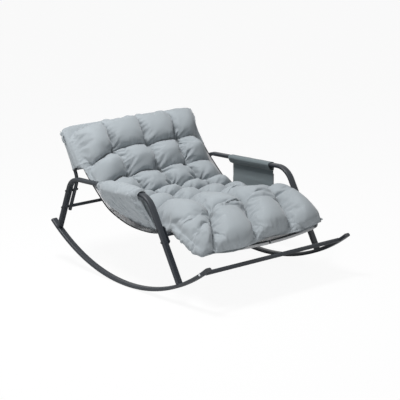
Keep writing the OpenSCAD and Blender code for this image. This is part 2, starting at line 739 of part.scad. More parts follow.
// Lap of the cushion over the left armrest: rings across the armrest, with the tube's hole
lap_steps = 14;
lap_reach = side_x - pad_back_x - 2;
lap_hem = 15;
lap_hem_rise = 35;
function lap_fill(t) = pow(sin(180 * (0.08 + 0.84 * t)), 0.5);
function lap_ring(t) =
    let (y = flap_rear - t * (flap_front + flap_rear),
        drop = arm_z(y) - sling_z(y) - lap_hem - lap_hem_rise * (1 - t),
        f = flap_t * (0.45 + 0.55 * lap_fill(t)) + 2.5 * sin(1400 * t),
        w = oval_w / 2, h = oval_t / 2, g = 3 * sin(1900 * t))
    [for (p = [[0, h + f], [-w * 0.6, h + f * 0.9], [-w - f * 0.6, h + f * 0.4],
            [-w - f, -4], [-w - f * 0.85 + g, -0.22 * drop], [-w - f * 0.3 - g, -0.45 * drop],
            [-w * 0.7 + g, -0.7 * drop], [w * 0.3, -0.9 * drop], [w + 4, -drop],
            [lap_reach - 2, -drop], [lap_reach, -0.85 * drop],
            [lap_reach + w, -0.5 * drop], [lap_reach + w / 2, -0.2 * drop],
            [w + f * 0.8, 2], [w + f * 0.4, h + f * 0.4],
            [w * 0.6, h + f * 0.85]])
        [p.x - side_x, y, arm_z(y) + p.y]];
module cushion_arm_lap() {
    color(cloth_grey) difference() {
        loft([for (k = [lap_steps : -1 : 0]) lap_ring(k / lap_steps)], 0);
        place([1, 0, 0], cross(arm_dir, [1, 0, 0]), arm_dir,
            at_x(-side_x, arm_rear_corner)) linear_extrude(arm_rear + arm_front)
                rotate(90) oval_section(-0.8);
    }
}

// Fabric loop sewn to the hood's left side, for tying the cushion down
tie_w = 18;
tie_t = 3;
module cushion_tie() {
    at = back_top + 55 * back_dir - 2 * back_front;
    color(cloth_grey) translate([-hood_half - hood_t, at.x, at.y]) rotate([0, -90, 0])
        rotate(-25) translate([0, 0, 0]) intersection() {
            translate([-60, -tie_w / 2, 0]) cube([120, tie_w, 60]);
            rotate([90, 0, 0]) translate([0, 0, -tie_w]) linear_extrude(2 * tie_w)
                scale([1, 0.55]) difference() {
                    circle(r = 24);
                    circle(r = 24 - tie_t * 1.4);
                }
        }
}

// Direction of the armrest from rear to front, and the frame of what hangs on the right one.
// There X is across the chair, Y is up and Z runs forwards.
arm_dir = unit([0, -1, arm_fall / (arm_rear + arm_front)]);
module on_right_arm(y) {
    place([1, 0, 0], cross(arm_dir, [1, 0, 0]), arm_dir, [side_x, y, arm_z(y)]) children();
}
pocket_l = pocket_front + pocket_rear;
seam_x = oval_w / 2 - 4;

// Closed outline of the loop round the armrest, with its seam low on the outer side
function loop_line(e) =
    let (w = oval_w / 2 + 1 + e, h = oval_t / 2 + 1 + e, q = 0.7)
    [[-w, -3], [-w, h * 0.3], [-w * 0.85, h * 0.86], [-w * 0.55, h], [0, h + e * 0.2 + 0.6],
     [w * 0.55, h], [w * 0.85, h * 0.86], [w, h * 0.3], [w, -3], [w * 0.98, -loop_drop * 0.5],
     [seam_x + 3 * q + e, -loop_drop - e], [seam_x - 3 * q - e, -loop_drop - e],
     [-w * 0.3, -loop_drop * 0.72 - e]];
module pocket_panel() {
    color(pocket_grey) on_right_arm(pocket_rear) {
        linear_extrude(pocket_l) difference() {
            polygon(loop_line(cloth_t));
            polygon(loop_line(0));
        }
        translate([seam_x - cloth_t / 2, -pocket_drop, 0])
            cube([cloth_t, pocket_drop - loop_drop - cloth_t / 2, pocket_l]);
    }
}

// Pouch on the outer side of the panel: a bulged cloth bag, open at its mouth
pouch_steps = 10;
pouch_back = 1;
pouch_a = seam_x + cloth_t / 2 + skin_gap;
// Its section at t from the rear end, as pairs of bulge and height, shrunk inwards by e
function pouch_bulge(t) = 6 + (pouch_t - 6) * pow(sin(180 * t), 0.5);
function pouch_x(t, f, e) = f == 0 ? pouch_a + (e > 0 ? pouch_back : 0)
    : pouch_a + (e > 0 ? pouch_back + max(pouch_bulge(t) * f - e - pouch_back, 0.6)
        : pouch_bulge(t) * f);
function pouch_ring(t, e) =
    let (z = e + t * (pocket_l - 2 * e), low = -pocket_drop + e, high = -mouth_drop + 3 * e)
    [for (p = [[0, high], [0.7, high], [0.85, high - 30], [0.95, (low + high) / 2],
            [1, low + 60], [0.9, low + 22], [0.65, low + 4], [0, low]])
        [pouch_x(t, p.x, e), p.y, z]];
module pocket_pouch() {
    color(pocket_grey) on_right_arm(pocket_rear) difference() {
        loft([for (k = [0 : pouch_steps]) pouch_ring(k / pouch_steps, 0)], 0);
        loft([for (k = [0 : pouch_steps]) pouch_ring(k / pouch_steps, cloth_t)], 0);
    }
}

// Hem along the mouth of the pouch
hem_h = 12;
hem_t = 2;
function hem_ring(t) =
    let (x = max(pouch_x(t, 0.7, 0), pouch_x(t, 0.7 + 0.15 * hem_h / 30, 0)) + skin_gap,
        y = -mouth_drop, z = t * pocket_l)
    [[x, y + 1, z], [x + hem_t, y + 1, z], [x + hem_t, y - hem_h, z], [x, y - hem_h, z]];
module pocket_hem() {
    color(binding_black) on_right_arm(pocket_rear)
        loft([for (k = [0 : pouch_steps]) hem_ring(k / pouch_steps)], 0);
}

rocker_rail_left();
rocker_rail_right();
rail_plugs_front();
rail_plugs_rear();
arm_loop_left();
arm_loop_right();
front_crossbar();
front_crossbar_inserts();
front_crossbar_bolts();
back_frame();
back_frame_plugs();
back_spacers();
back_upper_bolts();
back_lower_bolts();
back_cap_nuts();
rear_crossbar();
rear_crossbar_inserts();
seat_frame();
seat_brackets();
seat_upper_bolts();
seat_lower_bolts();
seat_cap_nuts();
seat_crossbar();
sling();
sling_binding_left();
sling_binding_right();
sling_front_binding();
cushion_pad();
cushion_hood();
cushion_arm_lap();
cushion_tie();
pocket_panel();
pocket_pouch();
pocket_hem();
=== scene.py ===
"""Double rocking chair: photo-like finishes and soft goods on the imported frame.

The tubes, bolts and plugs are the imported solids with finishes. The sling, its bindings, the
tufted cushion with its hood and arm lap, and the side pocket are made here as fine surfaces.
"""
from __future__ import annotations

import json
import logging
import math
from collections.abc import Callable
from dataclasses import dataclass, field
from enum import Enum

import bpy
import numpy as np
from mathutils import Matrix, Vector

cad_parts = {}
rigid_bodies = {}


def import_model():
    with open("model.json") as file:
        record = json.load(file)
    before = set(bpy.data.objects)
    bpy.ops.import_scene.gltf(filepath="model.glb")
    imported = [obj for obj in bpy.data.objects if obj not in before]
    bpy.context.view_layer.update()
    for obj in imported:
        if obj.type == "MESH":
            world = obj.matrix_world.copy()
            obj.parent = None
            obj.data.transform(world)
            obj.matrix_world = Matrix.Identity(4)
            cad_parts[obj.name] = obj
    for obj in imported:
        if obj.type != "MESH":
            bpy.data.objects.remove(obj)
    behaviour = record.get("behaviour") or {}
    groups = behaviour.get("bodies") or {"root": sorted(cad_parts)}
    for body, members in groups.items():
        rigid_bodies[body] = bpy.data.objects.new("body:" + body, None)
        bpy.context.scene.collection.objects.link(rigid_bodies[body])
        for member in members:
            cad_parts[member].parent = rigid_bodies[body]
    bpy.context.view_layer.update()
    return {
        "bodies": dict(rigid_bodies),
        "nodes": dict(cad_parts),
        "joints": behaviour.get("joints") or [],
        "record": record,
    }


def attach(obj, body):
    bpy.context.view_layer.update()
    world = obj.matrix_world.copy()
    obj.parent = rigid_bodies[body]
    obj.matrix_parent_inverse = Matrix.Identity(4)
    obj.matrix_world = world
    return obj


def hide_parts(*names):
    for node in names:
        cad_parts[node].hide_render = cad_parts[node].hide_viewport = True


Array = np.ndarray
LOG = logging.getLogger("rocking_chair")
BODY = "root"
TINY = 1e-9


class Weave(Enum):
    """Kinds of cloth, by how their threads cross."""

    PLAIN = "plain"
    TWILL = "twill"
    RIB = "rib"


# Shader maths


class Sock:
    """A node's output, or a number, on which the usual operators add Math nodes."""

    def __init__(self, tree: "Tree", out: object) -> None:
        """Keep the tree and the wrapped socket.

        Args:
            tree: The node tree that new Math nodes go to.
            out: The output socket.
        """
        self.tree = tree
        self.out = out

    def _math(self, operation: str, *values: object) -> "Sock":
        """Add a Math node on the given values.

        Args:
            operation: The Math node's operation.
            values: Sockets or numbers.

        Returns:
            The Math node's output.
        """
        return self.tree.node("ShaderNodeMath", {"operation": operation}, *values)

    def __add__(self, other: object) -> "Sock":
        """Sum."""
        return self._math("ADD", self, other)

    __radd__ = __add__

    def __rsub__(self, other: object) -> "Sock":
        """Difference with the number first."""
        return self._math("SUBTRACT", other, self)

    def __mul__(self, other: object) -> "Sock":
        """Product."""
        return self._math("MULTIPLY", self, other)

    __rmul__ = __mul__

    def sine(self) -> "Sock":
        """Sine of the value in radians."""
        return self._math("SINE", self)

    def above(self, edge: float) -> "Sock":
        """One where the value is over edge, else zero."""
        return self._math("GREATER_THAN", self, edge)

    def clamped(self) -> "Sock":
        """The value held between 0 and 1."""
        return self._math("MINIMUM", self._math("MAXIMUM", self, 0.0), 1.0)


class Tree:
    """A material's node tree with short ways to add nodes and to set the shader."""

    def __init__(self, name: str) -> None:
        """Start a material with one Principled shader.

        Args:
            name: The material's name.
        """
        self.material = bpy.data.materials.new(name)
        self.material.use_nodes = True
        self.nodes = self.material.node_tree.nodes
        self.links = self.material.node_tree.links
        self.nodes.clear()
        self.output = self.nodes.new("ShaderNodeOutputMaterial")
        self.shader = self.nodes.new("ShaderNodeBsdfPrincipled")
        self.links.new(self.shader.outputs[0], self.output.inputs["Surface"])

    def put(self, socket: object, value: object) -> None:
        """Link a wrapped socket to an input, or set the input's own value.

        Args:
            socket: The input.
            value: A wrapped output or the input's new value.
        """
        if isinstance(value, Sock):
            self.links.new(value.out, socket)
        else:
            socket.default_value = value

    def node(self, kind: str, settings: dict[str, object] | None = None, *values: object,
             output: object = 0, **inputs: object) -> Sock:
        """Add a node.

        Args:
            kind: The node's type.
            settings: Its own settings, set before its sockets. A key "stops" fills a ramp.
            values: Values or links of its first sockets, in order.
            output: Index or name of the output to return.
            inputs: Values or links of sockets by name, with _ for a space.

        Returns:
            The wrapped output.
        """
        made = self.nodes.new(kind)
        for key, value in (settings or {}).items():
            if key == "stops":
                ramp = made.color_ramp.elements
                while len(ramp) < len(value):
                    ramp.new(1.0)
                for stop, (place, shade) in zip(ramp, value):
                    stop.position = place
                    stop.color = (*shade, 1.0) if isinstance(shade, tuple) else (shade,) * 3 + (1,)
            else:
                setattr(made, key, value)
        for socket, value in zip(made.inputs, values):
            self.put(socket, value)
        for key, value in inputs.items():
            self.put(made.inputs[key.replace("_", " ")], value)
        return Sock(self, made.outputs[output])

    def set(self, **inputs: object) -> None:
        """Set the shader's sockets by name, with _ for a space."""
        for key, value in inputs.items():
            self.put(self.shader.inputs[key.replace("_", " ")], value)

    def place(self) -> Sock:
        """Object coordinates."""
        return self.node("ShaderNodeTexCoord", output="Object")

    def noise(self, scale: float, detail: float = 3.0, rough: float = 0.5,
              vector: Sock | None = None) -> Sock:
        """Noise from 0 to 1 on Object coordinates, or on the given vector."""
        return self.node("ShaderNodeTexNoise", None, Vector=vector or self.place(),
                         Scale=scale, Detail=detail, Roughness=rough)

    def ramp(self, value: Sock, *stops: tuple[float, object]) -> Sock:
        """Colour ramp over a value."""
        return self.node("ShaderNodeValToRGB", {"stops": stops}, value)

    def mix(self, factor: object, a: object, b: object) -> Sock:
        """Mix of two colours.

        Args:
            factor: Share of the second colour.
            a: First colour, as three numbers or a wrapped output.
            b: Second colour.

        Returns:
            The mixed colour.
        """
        made = self.nodes.new("ShaderNodeMix")
        made.data_type = "RGBA"
        self.put(made.inputs[0], factor)
        self.put(made.inputs[6], a if isinstance(a, Sock) else (*a, 1.0))
        self.put(made.inputs[7], b if isinstance(b, Sock) else (*b, 1.0))
        return Sock(self, made.outputs[2])

    def bump(self, height: Sock, distance: float, strength: float = 1.0,
             normal: Sock | None = None) -> Sock:
        """Bump on top of another bump's normal, where one is given.

        Args:
            height: Height from 0 to 1.
            distance: Depth of the relief in metres.
            strength: Share of the relief that shows.
            normal: The other bump's normal.

        Returns:
            The bent normal.
        """
        more = {"Normal": normal} if normal else {}
        return self.node("ShaderNodeBump", None, Strength=strength, Distance=distance,
                         Height=height, **more)

    def uv(self) -> tuple[Sock, Sock]:
        """The piece's own UV map, in metres.

        Returns:
            Its two values.
        """
        split = self.nodes.new("ShaderNodeSeparateXYZ")
        coordinates = self.nodes.new("ShaderNodeUVMap")
        coordinates.uv_map = "cloth"
        self.links.new(coordinates.outputs[0], split.inputs[0])
        return Sock(self, split.outputs[0]), Sock(self, split.outputs[1])


# Finishes


@dataclass(frozen=True)
class PowderCoat:
    """Satin powder coat on steel tube, with a fine orange peel and light handling marks."""

    name: str = "powder_coat"
    colour: tuple[float, float, float] = (0.019, 0.023, 0.029)
    roughness: float = 0.46

    def build(self) -> bpy.types.Material:
        """Make the material.

        Returns:
            The material.
        """
        tree = Tree(self.name)
        cloud = tree.noise(14.0, 4.0)
        marks = tree.noise(160.0, 2.0, 0.7)
        rub = tree.ramp(marks, (0.62, 0.0), (0.72, 1.0))
        tone = tree.mix(cloud, tuple(0.86 * c for c in self.colour),
                        tuple(1.16 * c for c in self.colour))
        tree.set(Base_Color=tree.mix(rub * 0.12, tone, (0.12, 0.13, 0.14)),
                 Roughness=cloud * 0.10 + (self.roughness - 0.05) + rub * 0.06,
                 Normal=tree.bump(tree.noise(900.0, 2.0), 0.00012, 0.5),
                 Specular_IOR_Level=0.38)
        return tree.material


@dataclass(frozen=True)
class PlatedSteel:
    """Zinc plated or blackened steel of a fastener, with turning marks."""

    name: str
    colour: tuple[float, float, float]
    roughness: float

    def build(self) -> bpy.types.Material:
        """Make the material.

        Returns:
            The material.
        """
        tree = Tree(self.name)
        cloud = tree.noise(120.0, 3.0)
        tree.set(Metallic=0.9,
                 Base_Color=tree.mix(cloud, tuple(0.8 * c for c in self.colour), self.colour),
                 Roughness=cloud * 0.15 + self.roughness,
                 Normal=tree.bump(tree.noise(1400.0, 2.0, 0.6), 0.00006, 0.6))
        return tree.material


@dataclass(frozen=True)
class MouldedPlastic:
    """Black moulded plastic with a spark-eroded grain."""

    name: str = "moulded_plastic"
    colour: tuple[float, float, float] = (0.020, 0.022, 0.025)

    def build(self) -> bpy.types.Material:
        """Make the material.

        Returns:
            The material.
        """
        tree = Tree(self.name)
        cloud = tree.noise(40.0, 2.0)
        tree.set(Base_Color=tree.mix(cloud, self.colour, tuple(1.5 * c for c in self.colour)),
                 Roughness=cloud * 0.12 + 0.45,
                 Normal=tree.bump(tree.noise(2200.0, 1.0), 0.00008, 0.5))
        return tree.material


@dataclass(frozen=True)
class Cloth:
    """Woven cloth: threads on the piece's own UV map, soft sheen and faint wear.

    The threads' height is the product or the sum of two sine waves along the UV axes, which
    are in metres.
    """

    name: str
    colour: tuple[float, float, float]
    weave: Weave = Weave.PLAIN
    thread: float = 0.0011
    fuzz: float = 0.25
    depth: float = 0.00012
    spread: float = 0.10

    def build(self) -> bpy.types.Material:
        """Make the material.

        Returns:
            The material.
        """
        tree = Tree(self.name)
        across, along = tree.uv()
        wave = 2 * math.pi / self.thread
        if self.weave is Weave.TWILL:
            threads = ((across + along) * wave).sine() * 0.35 + (along * wave).sine() * 0.15 + 0.5
        elif self.weave is Weave.RIB:
            threads = (along * wave).sine() * 0.4 + (across * wave * 0.5).sine() * 0.1 + 0.5
        else:
            threads = (across * wave).sine() * (along * wave).sine() * 0.5 + 0.5
        slub = tree.noise(260.0, 3.0, 0.6)
        cloud = tree.noise(7.0, 4.0, 0.55)
        low = tuple(c * (1 - self.spread) for c in self.colour)
        high = tuple(min(1.0, c * (1 + self.spread)) for c in self.colour)
        tone = tree.mix((cloud * 0.6 + slub * 0.4).clamped(), low, high)
        tree.set(Base_Color=tree.mix(threads * 0.16, tone, tuple(0.6 * c for c in self.colour)),
                 Roughness=slub * 0.12 + 0.80, Sheen_Weight=self.fuzz, Sheen_Roughness=0.45,
                 Specular_IOR_Level=0.25,
                 Normal=tree.bump(threads, self.depth, 0.7,
                                  tree.bump(tree.noise(55.0, 4.0, 0.6), 0.0010, 0.35)))
        return tree.material


@dataclass(frozen=True)
class SlingMesh:
    """Coated open mesh: square cells whose holes let the light through.

    A cell's hole is where the product of two sine waves along the UV axes is high.
    """

    name: str = "sling_mesh"
    colour: tuple[float, float, float] = (0.52, 0.52, 0.53)
    cell: float = 0.0032

    def build(self) -> bpy.types.Material:
        """Make the material.

        Returns:
            The material.
        """
        tree = Tree(self.name)
        across, along = tree.uv()
        wave = 2 * math.pi / self.cell
        cells = (across * wave).sine() * (along * wave).sine()
        strands = 1.0 - cells.above(0.45)
        cloud = tree.noise(9.0, 3.0)
        tree.set(Base_Color=tree.mix(cloud, tuple(0.9 * c for c in self.colour), self.colour),
                 Roughness=cloud * 0.1 + 0.55, Alpha=strands, Specular_IOR_Level=0.35,
                 Normal=tree.bump(cells * 0.5 + 0.5, 0.0004, 0.6))
        return tree.material


class Finishes:
    """All finishes of the chair, each made once."""

    def __init__(self) -> None:
        """Make the materials."""
        self.frame = PowderCoat().build()
        self.black_bolt = PlatedSteel("blackened_bolt", (0.055, 0.058, 0.062), 0.35).build()
        self.zinc = PlatedSteel("zinc_bolt", (0.62, 0.64, 0.66), 0.25).build()
        self.plastic = MouldedPlastic().build()
        self.cushion = Cloth("cushion_cloth", (0.335, 0.368, 0.390)).build()
        self.pocket = Cloth("pocket_cloth", (0.160, 0.192, 0.203), Weave.TWILL, 0.0014,
                            0.2).build()
        self.binding = Cloth("binding_tape", (0.018, 0.019, 0.022), Weave.RIB, 0.0016,
                             0.1).build()
        self.mesh = SlingMesh().build()
        self.sleeve = Cloth("sleeve_cloth", (0.50, 0.51, 0.52), Weave.RIB, 0.0016, 0.15).build()


# Meshes


def smooth_noise(u: Array, v: Array, seed: int, octaves: int = 3) -> Array:
    """Sum of sine waves in seeded directions, about -1 to 1, doubled in pitch each octave.

    Args:
        u: First parameter.
        v: Second parameter, of the same shape.
        seed: Seed of the directions and phases.
        octaves: How many pitches.

    Returns:
        The noise, of the parameters' shape.
    """
    rng = np.random.default_rng(seed)
    total = np.zeros(np.broadcast(u, v).shape)
    for k in range(octaves):
        for _ in range(4):
            turn, phase = rng.uniform(0, 2 * np.pi, 2)
            pitch = 2.0 ** k * rng.uniform(0.7, 1.3)
            total += np.sin(pitch * (np.cos(turn) * u + np.sin(turn) * v) + phase) / 1.8 ** k
    return total / 5.0


def grid_faces(rows: int, columns: int, wrap: bool = False) -> Array:
    """Quads of a grid whose vertices run row by row.

    Args:
        rows: Rows of vertices.
        columns: Vertices in a row.
        wrap: Whether each row closes on itself.

    Returns:
        Vertex indices, four a face.
    """
    across = np.arange(columns if wrap else columns - 1)
    a = (np.arange(rows - 1)[:, None] * columns + across[None, :]).ravel()
    b = (np.arange(rows - 1)[:, None] * columns + ((across + 1) % columns)[None, :]).ravel()
    return np.stack([a, b, b + columns, a + columns], axis=1)


def closed_faces(rows: int, columns: int, inwards: bool = True) -> list[list[int]]:
    """Quads between closed rings, with one face over the first ring and one over the last.

    Args:
        rows: Rings.
        columns: Vertices in a ring.
        inwards: Whether a ring runs so that its quads have to be turned round.

    Returns:
        Vertex indices of each face.
    """
    turn = -1 if inwards else 1
    first, last = range(columns), range((rows - 1) * columns, rows * columns)
    quads = grid_faces(rows, columns, wrap=True)[:, ::turn]
    return [*quads.tolist(), list(first[::-turn]), list(last[::turn])]


def rise(value: Array, start: float, width: float) -> Array:
    """Share that grows from 0 at start to 1 a width further on."""
    return np.clip((value - start) / width, 0, 1)


def fall(value: Array, end: float, width: float) -> Array:
    """Share that drops from 1 to 0 over a width, and is 0 from end on."""
    return np.clip((end - value) / width, 0, 1)


def signed_power(value: Array, power: float) -> Array:
    """Power of a value's size, with the value's sign."""
    return np.sign(value) * np.abs(value) ** power


def stacked(*parts: Array) -> Array:
    """Coordinates on one grid, side by side in a new last axis."""
    return np.stack(np.broadcast_arrays(*parts), axis=-1)


def units(vectors: Array) -> Array:
    """Vectors of the last axis, each at length 1."""
    return vectors / np.maximum(np.linalg.norm(vectors, axis=-1, keepdims=True), TINY)


def distances(line: Array) -> Array:
    """Distance of each point of a line from its first point, along the line."""
    return np.r_[0, np.cumsum(np.linalg.norm(np.diff(line, axis=0), axis=1))]


def smooth_line(knots: Array, steps: int) -> Array:
    """Catmull-Rom curve through the knots, of which the first and the last only steer it.

    Args:
        knots: The knots, one a row.
        steps: Points from each knot to the next.

    Returns:
        The curve's points, up to the last knot that it passes, which is left out.
    """
    t = np.linspace(0, 1, steps + 1)[:-1][None, :, None]
    p0, p1, p2, p3 = (k[:, None, :] for k in (knots[:-3], knots[1:-2], knots[2:-1], knots[3:]))
    return (0.5 * (2 * p1 + (p2 - p0) * t + (2 * p0 - 5 * p1 + 4 * p2 - p3) * t ** 2
                   + (3 * p1 - p0 - 3 * p2 + p3) * t ** 3)).reshape(-1, knots.shape[1])


def resample(line: Array, count: int) -> Array:
    """Points at even distances along a line, after Catmull-Rom smoothing.

    Args:
        line: Points of the line, one a row.
        count: How many points to return.

    Returns:
        The new points.
    """
    ends = np.vstack([2 * line[0] - line[1], line, 2 * line[-1] - line[-2]])
    fine = np.vstack([smooth_line(ends, 8), line[-1:]])
    steps = distances(fine)
    at = np.linspace(0, steps[-1], count)
    return stacked(*(np.interp(at, steps, fine[:, k]) for k in range(fine.shape[1])))


def tube(centre: Array, radius: Array | float, turn: Array, up: Array, side: Array) -> Array:
    """Circles round a path: radius times the cosine along up, plus its sine along side.

    Args:
        centre: Points of the path.
        radius: Radius, one for all or one for each vertex.
        turn: Angles round the circle.
        up: Direction of the angle zero, one for all or one for each point.
        side: Direction a quarter turn further on.

    Returns:
        The vertices, one circle a row.
    """
    return (centre[:, None] + (radius * np.cos(turn))[..., None] * up[..., None, :]
            + (radius * np.sin(turn))[..., None] * side[..., None, :])


class Maker:
    """Puts computed surfaces into Blender objects that ride on the chair."""

    @staticmethod
    def piece(name: str, points: Array, faces: Array | list[list[int]],
              material: bpy.types.Material, slot: str, replaced: tuple[str, ...] = (),
              uv: Array | None = None) -> bpy.types.Object:
        """Make one piece.

        Args:
            name: The piece's name.
            points: Vertices, one a row, in metres.
            faces: Vertex indices of the faces.
            material: Its finish.
            slot: Not used.
            replaced: The solids that it stands for.
            uv: A UV pair in metres for each vertex.

        Returns:
            The object.
        """
        mesh = bpy.data.meshes.new(name)
        faces = faces.tolist() if isinstance(faces, np.ndarray) else faces
        mesh.from_pydata(points.reshape(-1, 3).tolist(), [], faces)
        if uv is not None:
            layer = mesh.uv_layers.new(name="cloth")
            loops = np.empty(len(mesh.loops), dtype=np.int32)
            mesh.loops.foreach_get("vertex_index", loops)
            layer.data.foreach_set("uv", uv.reshape(-1, 2)[loops].astype(np.float32).ravel())
        mesh.polygons.foreach_set("use_smooth", [True] * len(mesh.polygons))
        mesh.materials.append(material)
        made = bpy.data.objects.new(name, mesh)
        bpy.context.scene.collection.objects.link(made)
        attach(made, BODY)
        if replaced:
            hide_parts(*replaced)
        return made

    @staticmethod
    def cloth_shell(made: bpy.types.Object, thickness: float, offset: float = 0.0) -> None:
        """Give an open surface a wall, and take it into the mesh.

        Args:
            made: The surface.
            thickness: The wall's thickness.
            offset: 0 lays the wall on both sides of the surface, -1 behind it.
        """
        solid = made.modifiers.new("wall", "SOLIDIFY")
        solid.thickness = thickness
        solid.offset = offset
        Maker.settle(made)

    @staticmethod
    def press(made: bpy.types.Object, place: Array,
              wrinkles: Callable[[Array, Array], Array]) -> None:
        """Smooth a piece and press fine wrinkles into it, along its normals.

        Args:
            made: The piece.
            place: Two flat coordinates of each vertex and a share for the wrinkles' height.
            wrinkles: Height at the two flat coordinates.
        """
        layer = made.data.attributes.new("place", "FLOAT_VECTOR", "POINT")
        layer.data.foreach_set("vector", place.astype(np.float32).ravel())
        finer = made.modifiers.new("finer", "SUBSURF")
        finer.levels = finer.render_levels = 1
        Maker.settle(made)
        mesh = made.data
        flat, normals = np.empty((2, len(mesh.vertices) * 3), np.float32)
        mesh.attributes["place"].data.foreach_get("vector", flat)
        mesh.attributes.remove(mesh.attributes["place"])
        mesh.vertex_normals.foreach_get("vector", normals)
        flat = flat.reshape(-1, 3).astype(float)
        height = wrinkles(flat[:, 0], flat[:, 1]) * flat[:, 2]
        Maker.move(mesh, Maker.points(mesh) + height[:, None] * normals.reshape(-1, 3))

    @staticmethod
    def points(mesh: bpy.types.Mesh) -> Array:
        """Vertices of a mesh.

        Args:
            mesh: The mesh.

        Returns:
            The vertices, one a row.
        """
        flat = np.empty(len(mesh.vertices) * 3, dtype=np.float32)
        mesh.vertices.foreach_get("co", flat)
        return flat.reshape(-1, 3).astype(float)

    @staticmethod
    def move(mesh: bpy.types.Mesh, points: Array) -> None:
        """Put a mesh's vertices at new points."""
        mesh.vertices.foreach_set("co", points.astype(np.float32).ravel())
        mesh.update()

    @staticmethod
    def settle(made: bpy.types.Object) -> None:
        """Turn an object with its modifiers into a plain mesh.

        Args:
            made: The object.
        """
        graph = bpy.context.evaluated_depsgraph_get()
        baked = bpy.data.meshes.new_from_object(made.evaluated_get(graph))
        old, baked.name = made.data, made.name + "_mesh"
        made.modifiers.clear()
        made.data = baked
        bpy.data.meshes.remove(old)


# The chair's lines, the same as its solids have


@dataclass
class Lines:
    """Main lines of the frame and the sling in the side plane, as (y, z) in metres."""

    side_x: float = 0.550
    seat_x: float = 0.460
    oval: tuple[float, float] = (0.045, 0.022)
    arm_front: tuple[float, float] = (-0.221, 0.592)
    arm_rear: tuple[float, float] = (0.529, 0.559)
    back_top: tuple[float, float] = (0.680, 0.831)
    back_knee: tuple[float, float] = (0.5348, 0.545)
    seat_bar: tuple[float, float] = (-0.3478, 0.381)
    seat_corner: tuple[float, float] = (-0.599, 0.320)
    seat_bend: float = 0.055
    bow_reach: float = 0.091
    bow_part: float = 0.9
    hoop_lift: float = 0.0125
    bar_lift: float = 0.0113
    lean: float = 14.0
    # Half the length over which the sling's normal is taken, which rounds its bends
    bevel: float = 0.012
    # Knots of the hanging sling as parts of the way and of the rise from the seat bar to the
    # top bar. They are rounded to the millimetre.
    sag: tuple[tuple[float, float], ...] = (
        (0.903, 0.762), (0.811, 0.507), (0.724, 0.320), (0.627, 0.140), (0.560, 0.047),
        (0.464, -0.027), (0.370, -0.071), (0.276, -0.082), (0.184, -0.073), (0.105, -0.042))
    line: Array = field(init=False)
    station: Array = field(init=False)

    def __post_init__(self) -> None:
        """Work out the sling's line: from the top bar, round the seat bar, to the front bar."""
        top, knee = np.array(self.back_top), np.array(self.back_knee)
        self.back_dir = units(knee - top)
        self.back_front = np.array([self.back_dir[1], -self.back_dir[0]])
        angle = math.atan2(self.back_dir[1], self.back_dir[0]) - math.radians(self.lean)
        self.start_dir = np.array([math.cos(angle), math.sin(angle)])
        start = top + self.hoop_lift * np.array([self.start_dir[1], -self.start_dir[0]])
        bar, corner = np.array(self.seat_bar), np.array(self.seat_corner)
        run = corner - bar
        seat_fall = (math.atan2(-run[1], -run[0])
                     - math.asin((self.hoop_lift - self.bar_lift) / np.linalg.norm(run)))
        self.seat_dir = -np.array([math.cos(seat_fall), math.sin(seat_fall)])
        self.seat_up = np.array([self.seat_dir[1], -self.seat_dir[0]])
        bow_tip = corner + self.bow_reach * self.seat_dir
        free_knots = np.round(bar + np.array(self.sag) * (top - bar), 3)
        low = free_knots[-1]
        to_bar = bar - low
        climb = (math.atan2(to_bar[1], to_bar[0])
                 - math.asin(self.bar_lift / np.linalg.norm(to_bar)))
        before = start - 0.09 * self.start_dir
        free = smooth_line(np.vstack([before, start, free_knots,
                                      bar + self.bar_lift * self.seat_up]), 12)
        a = np.linspace(climb, math.pi + seat_fall, 5)[:, None]
        arc = bar + self.bar_lift * np.hstack([np.sin(a), -np.cos(a)])
        self.line = np.vstack([free, low, arc, bow_tip + self.hoop_lift * self.seat_up])
        self.station = distances(self.line)

    @property
    def length(self) -> float:
        """Length of the sling from the top bar to the bow's tip."""
        return float(self.station[-1])

    def at(self, s: Array) -> Array:
        """Points of the sling, which goes on straight past both its ends.

        Args:
            s: Distances along it.

        Returns:
            The points, as (y, z) in the last axis.
        """
        on = stacked(*(np.interp(s, self.station, self.line[:, k]) for k in (0, 1)))
        beyond = np.maximum(s - self.length, 0) + np.minimum(s, 0)
        ahead = np.where(np.asarray(s)[..., None] > 0, self.seat_dir, self.start_dir)
        return on + beyond[..., None] * ahead

    def up(self, s: Array) -> Array:
        """Normals of the sling at distances along it, towards the sitter."""
        along = units(self.at(s + self.bevel) - self.at(s - self.bevel))
        return stacked(along[..., 1], -along[..., 0])

    def over(self, x: Array, s: Array, h: Array) -> Array:
        """Points in space at width x and height h over the sling at distance s."""
        p = self.at(s) + h[..., None] * self.up(s)
        return stacked(x, p[..., 0], p[..., 1])

    def arm_z(self, y: Array) -> Array:
        """Height of the armrests' centre line at y."""
        (y0, z0), (y1, z1) = self.arm_front, self.arm_rear
        return z0 + (z1 - z0) * (y - y0) / (y1 - y0)

    def sling_z(self, y: Array) -> Array:
        """Height of the sling at y."""
        return np.interp(y, self.line[::-1, 0], self.line[::-1, 1])


# Pieces


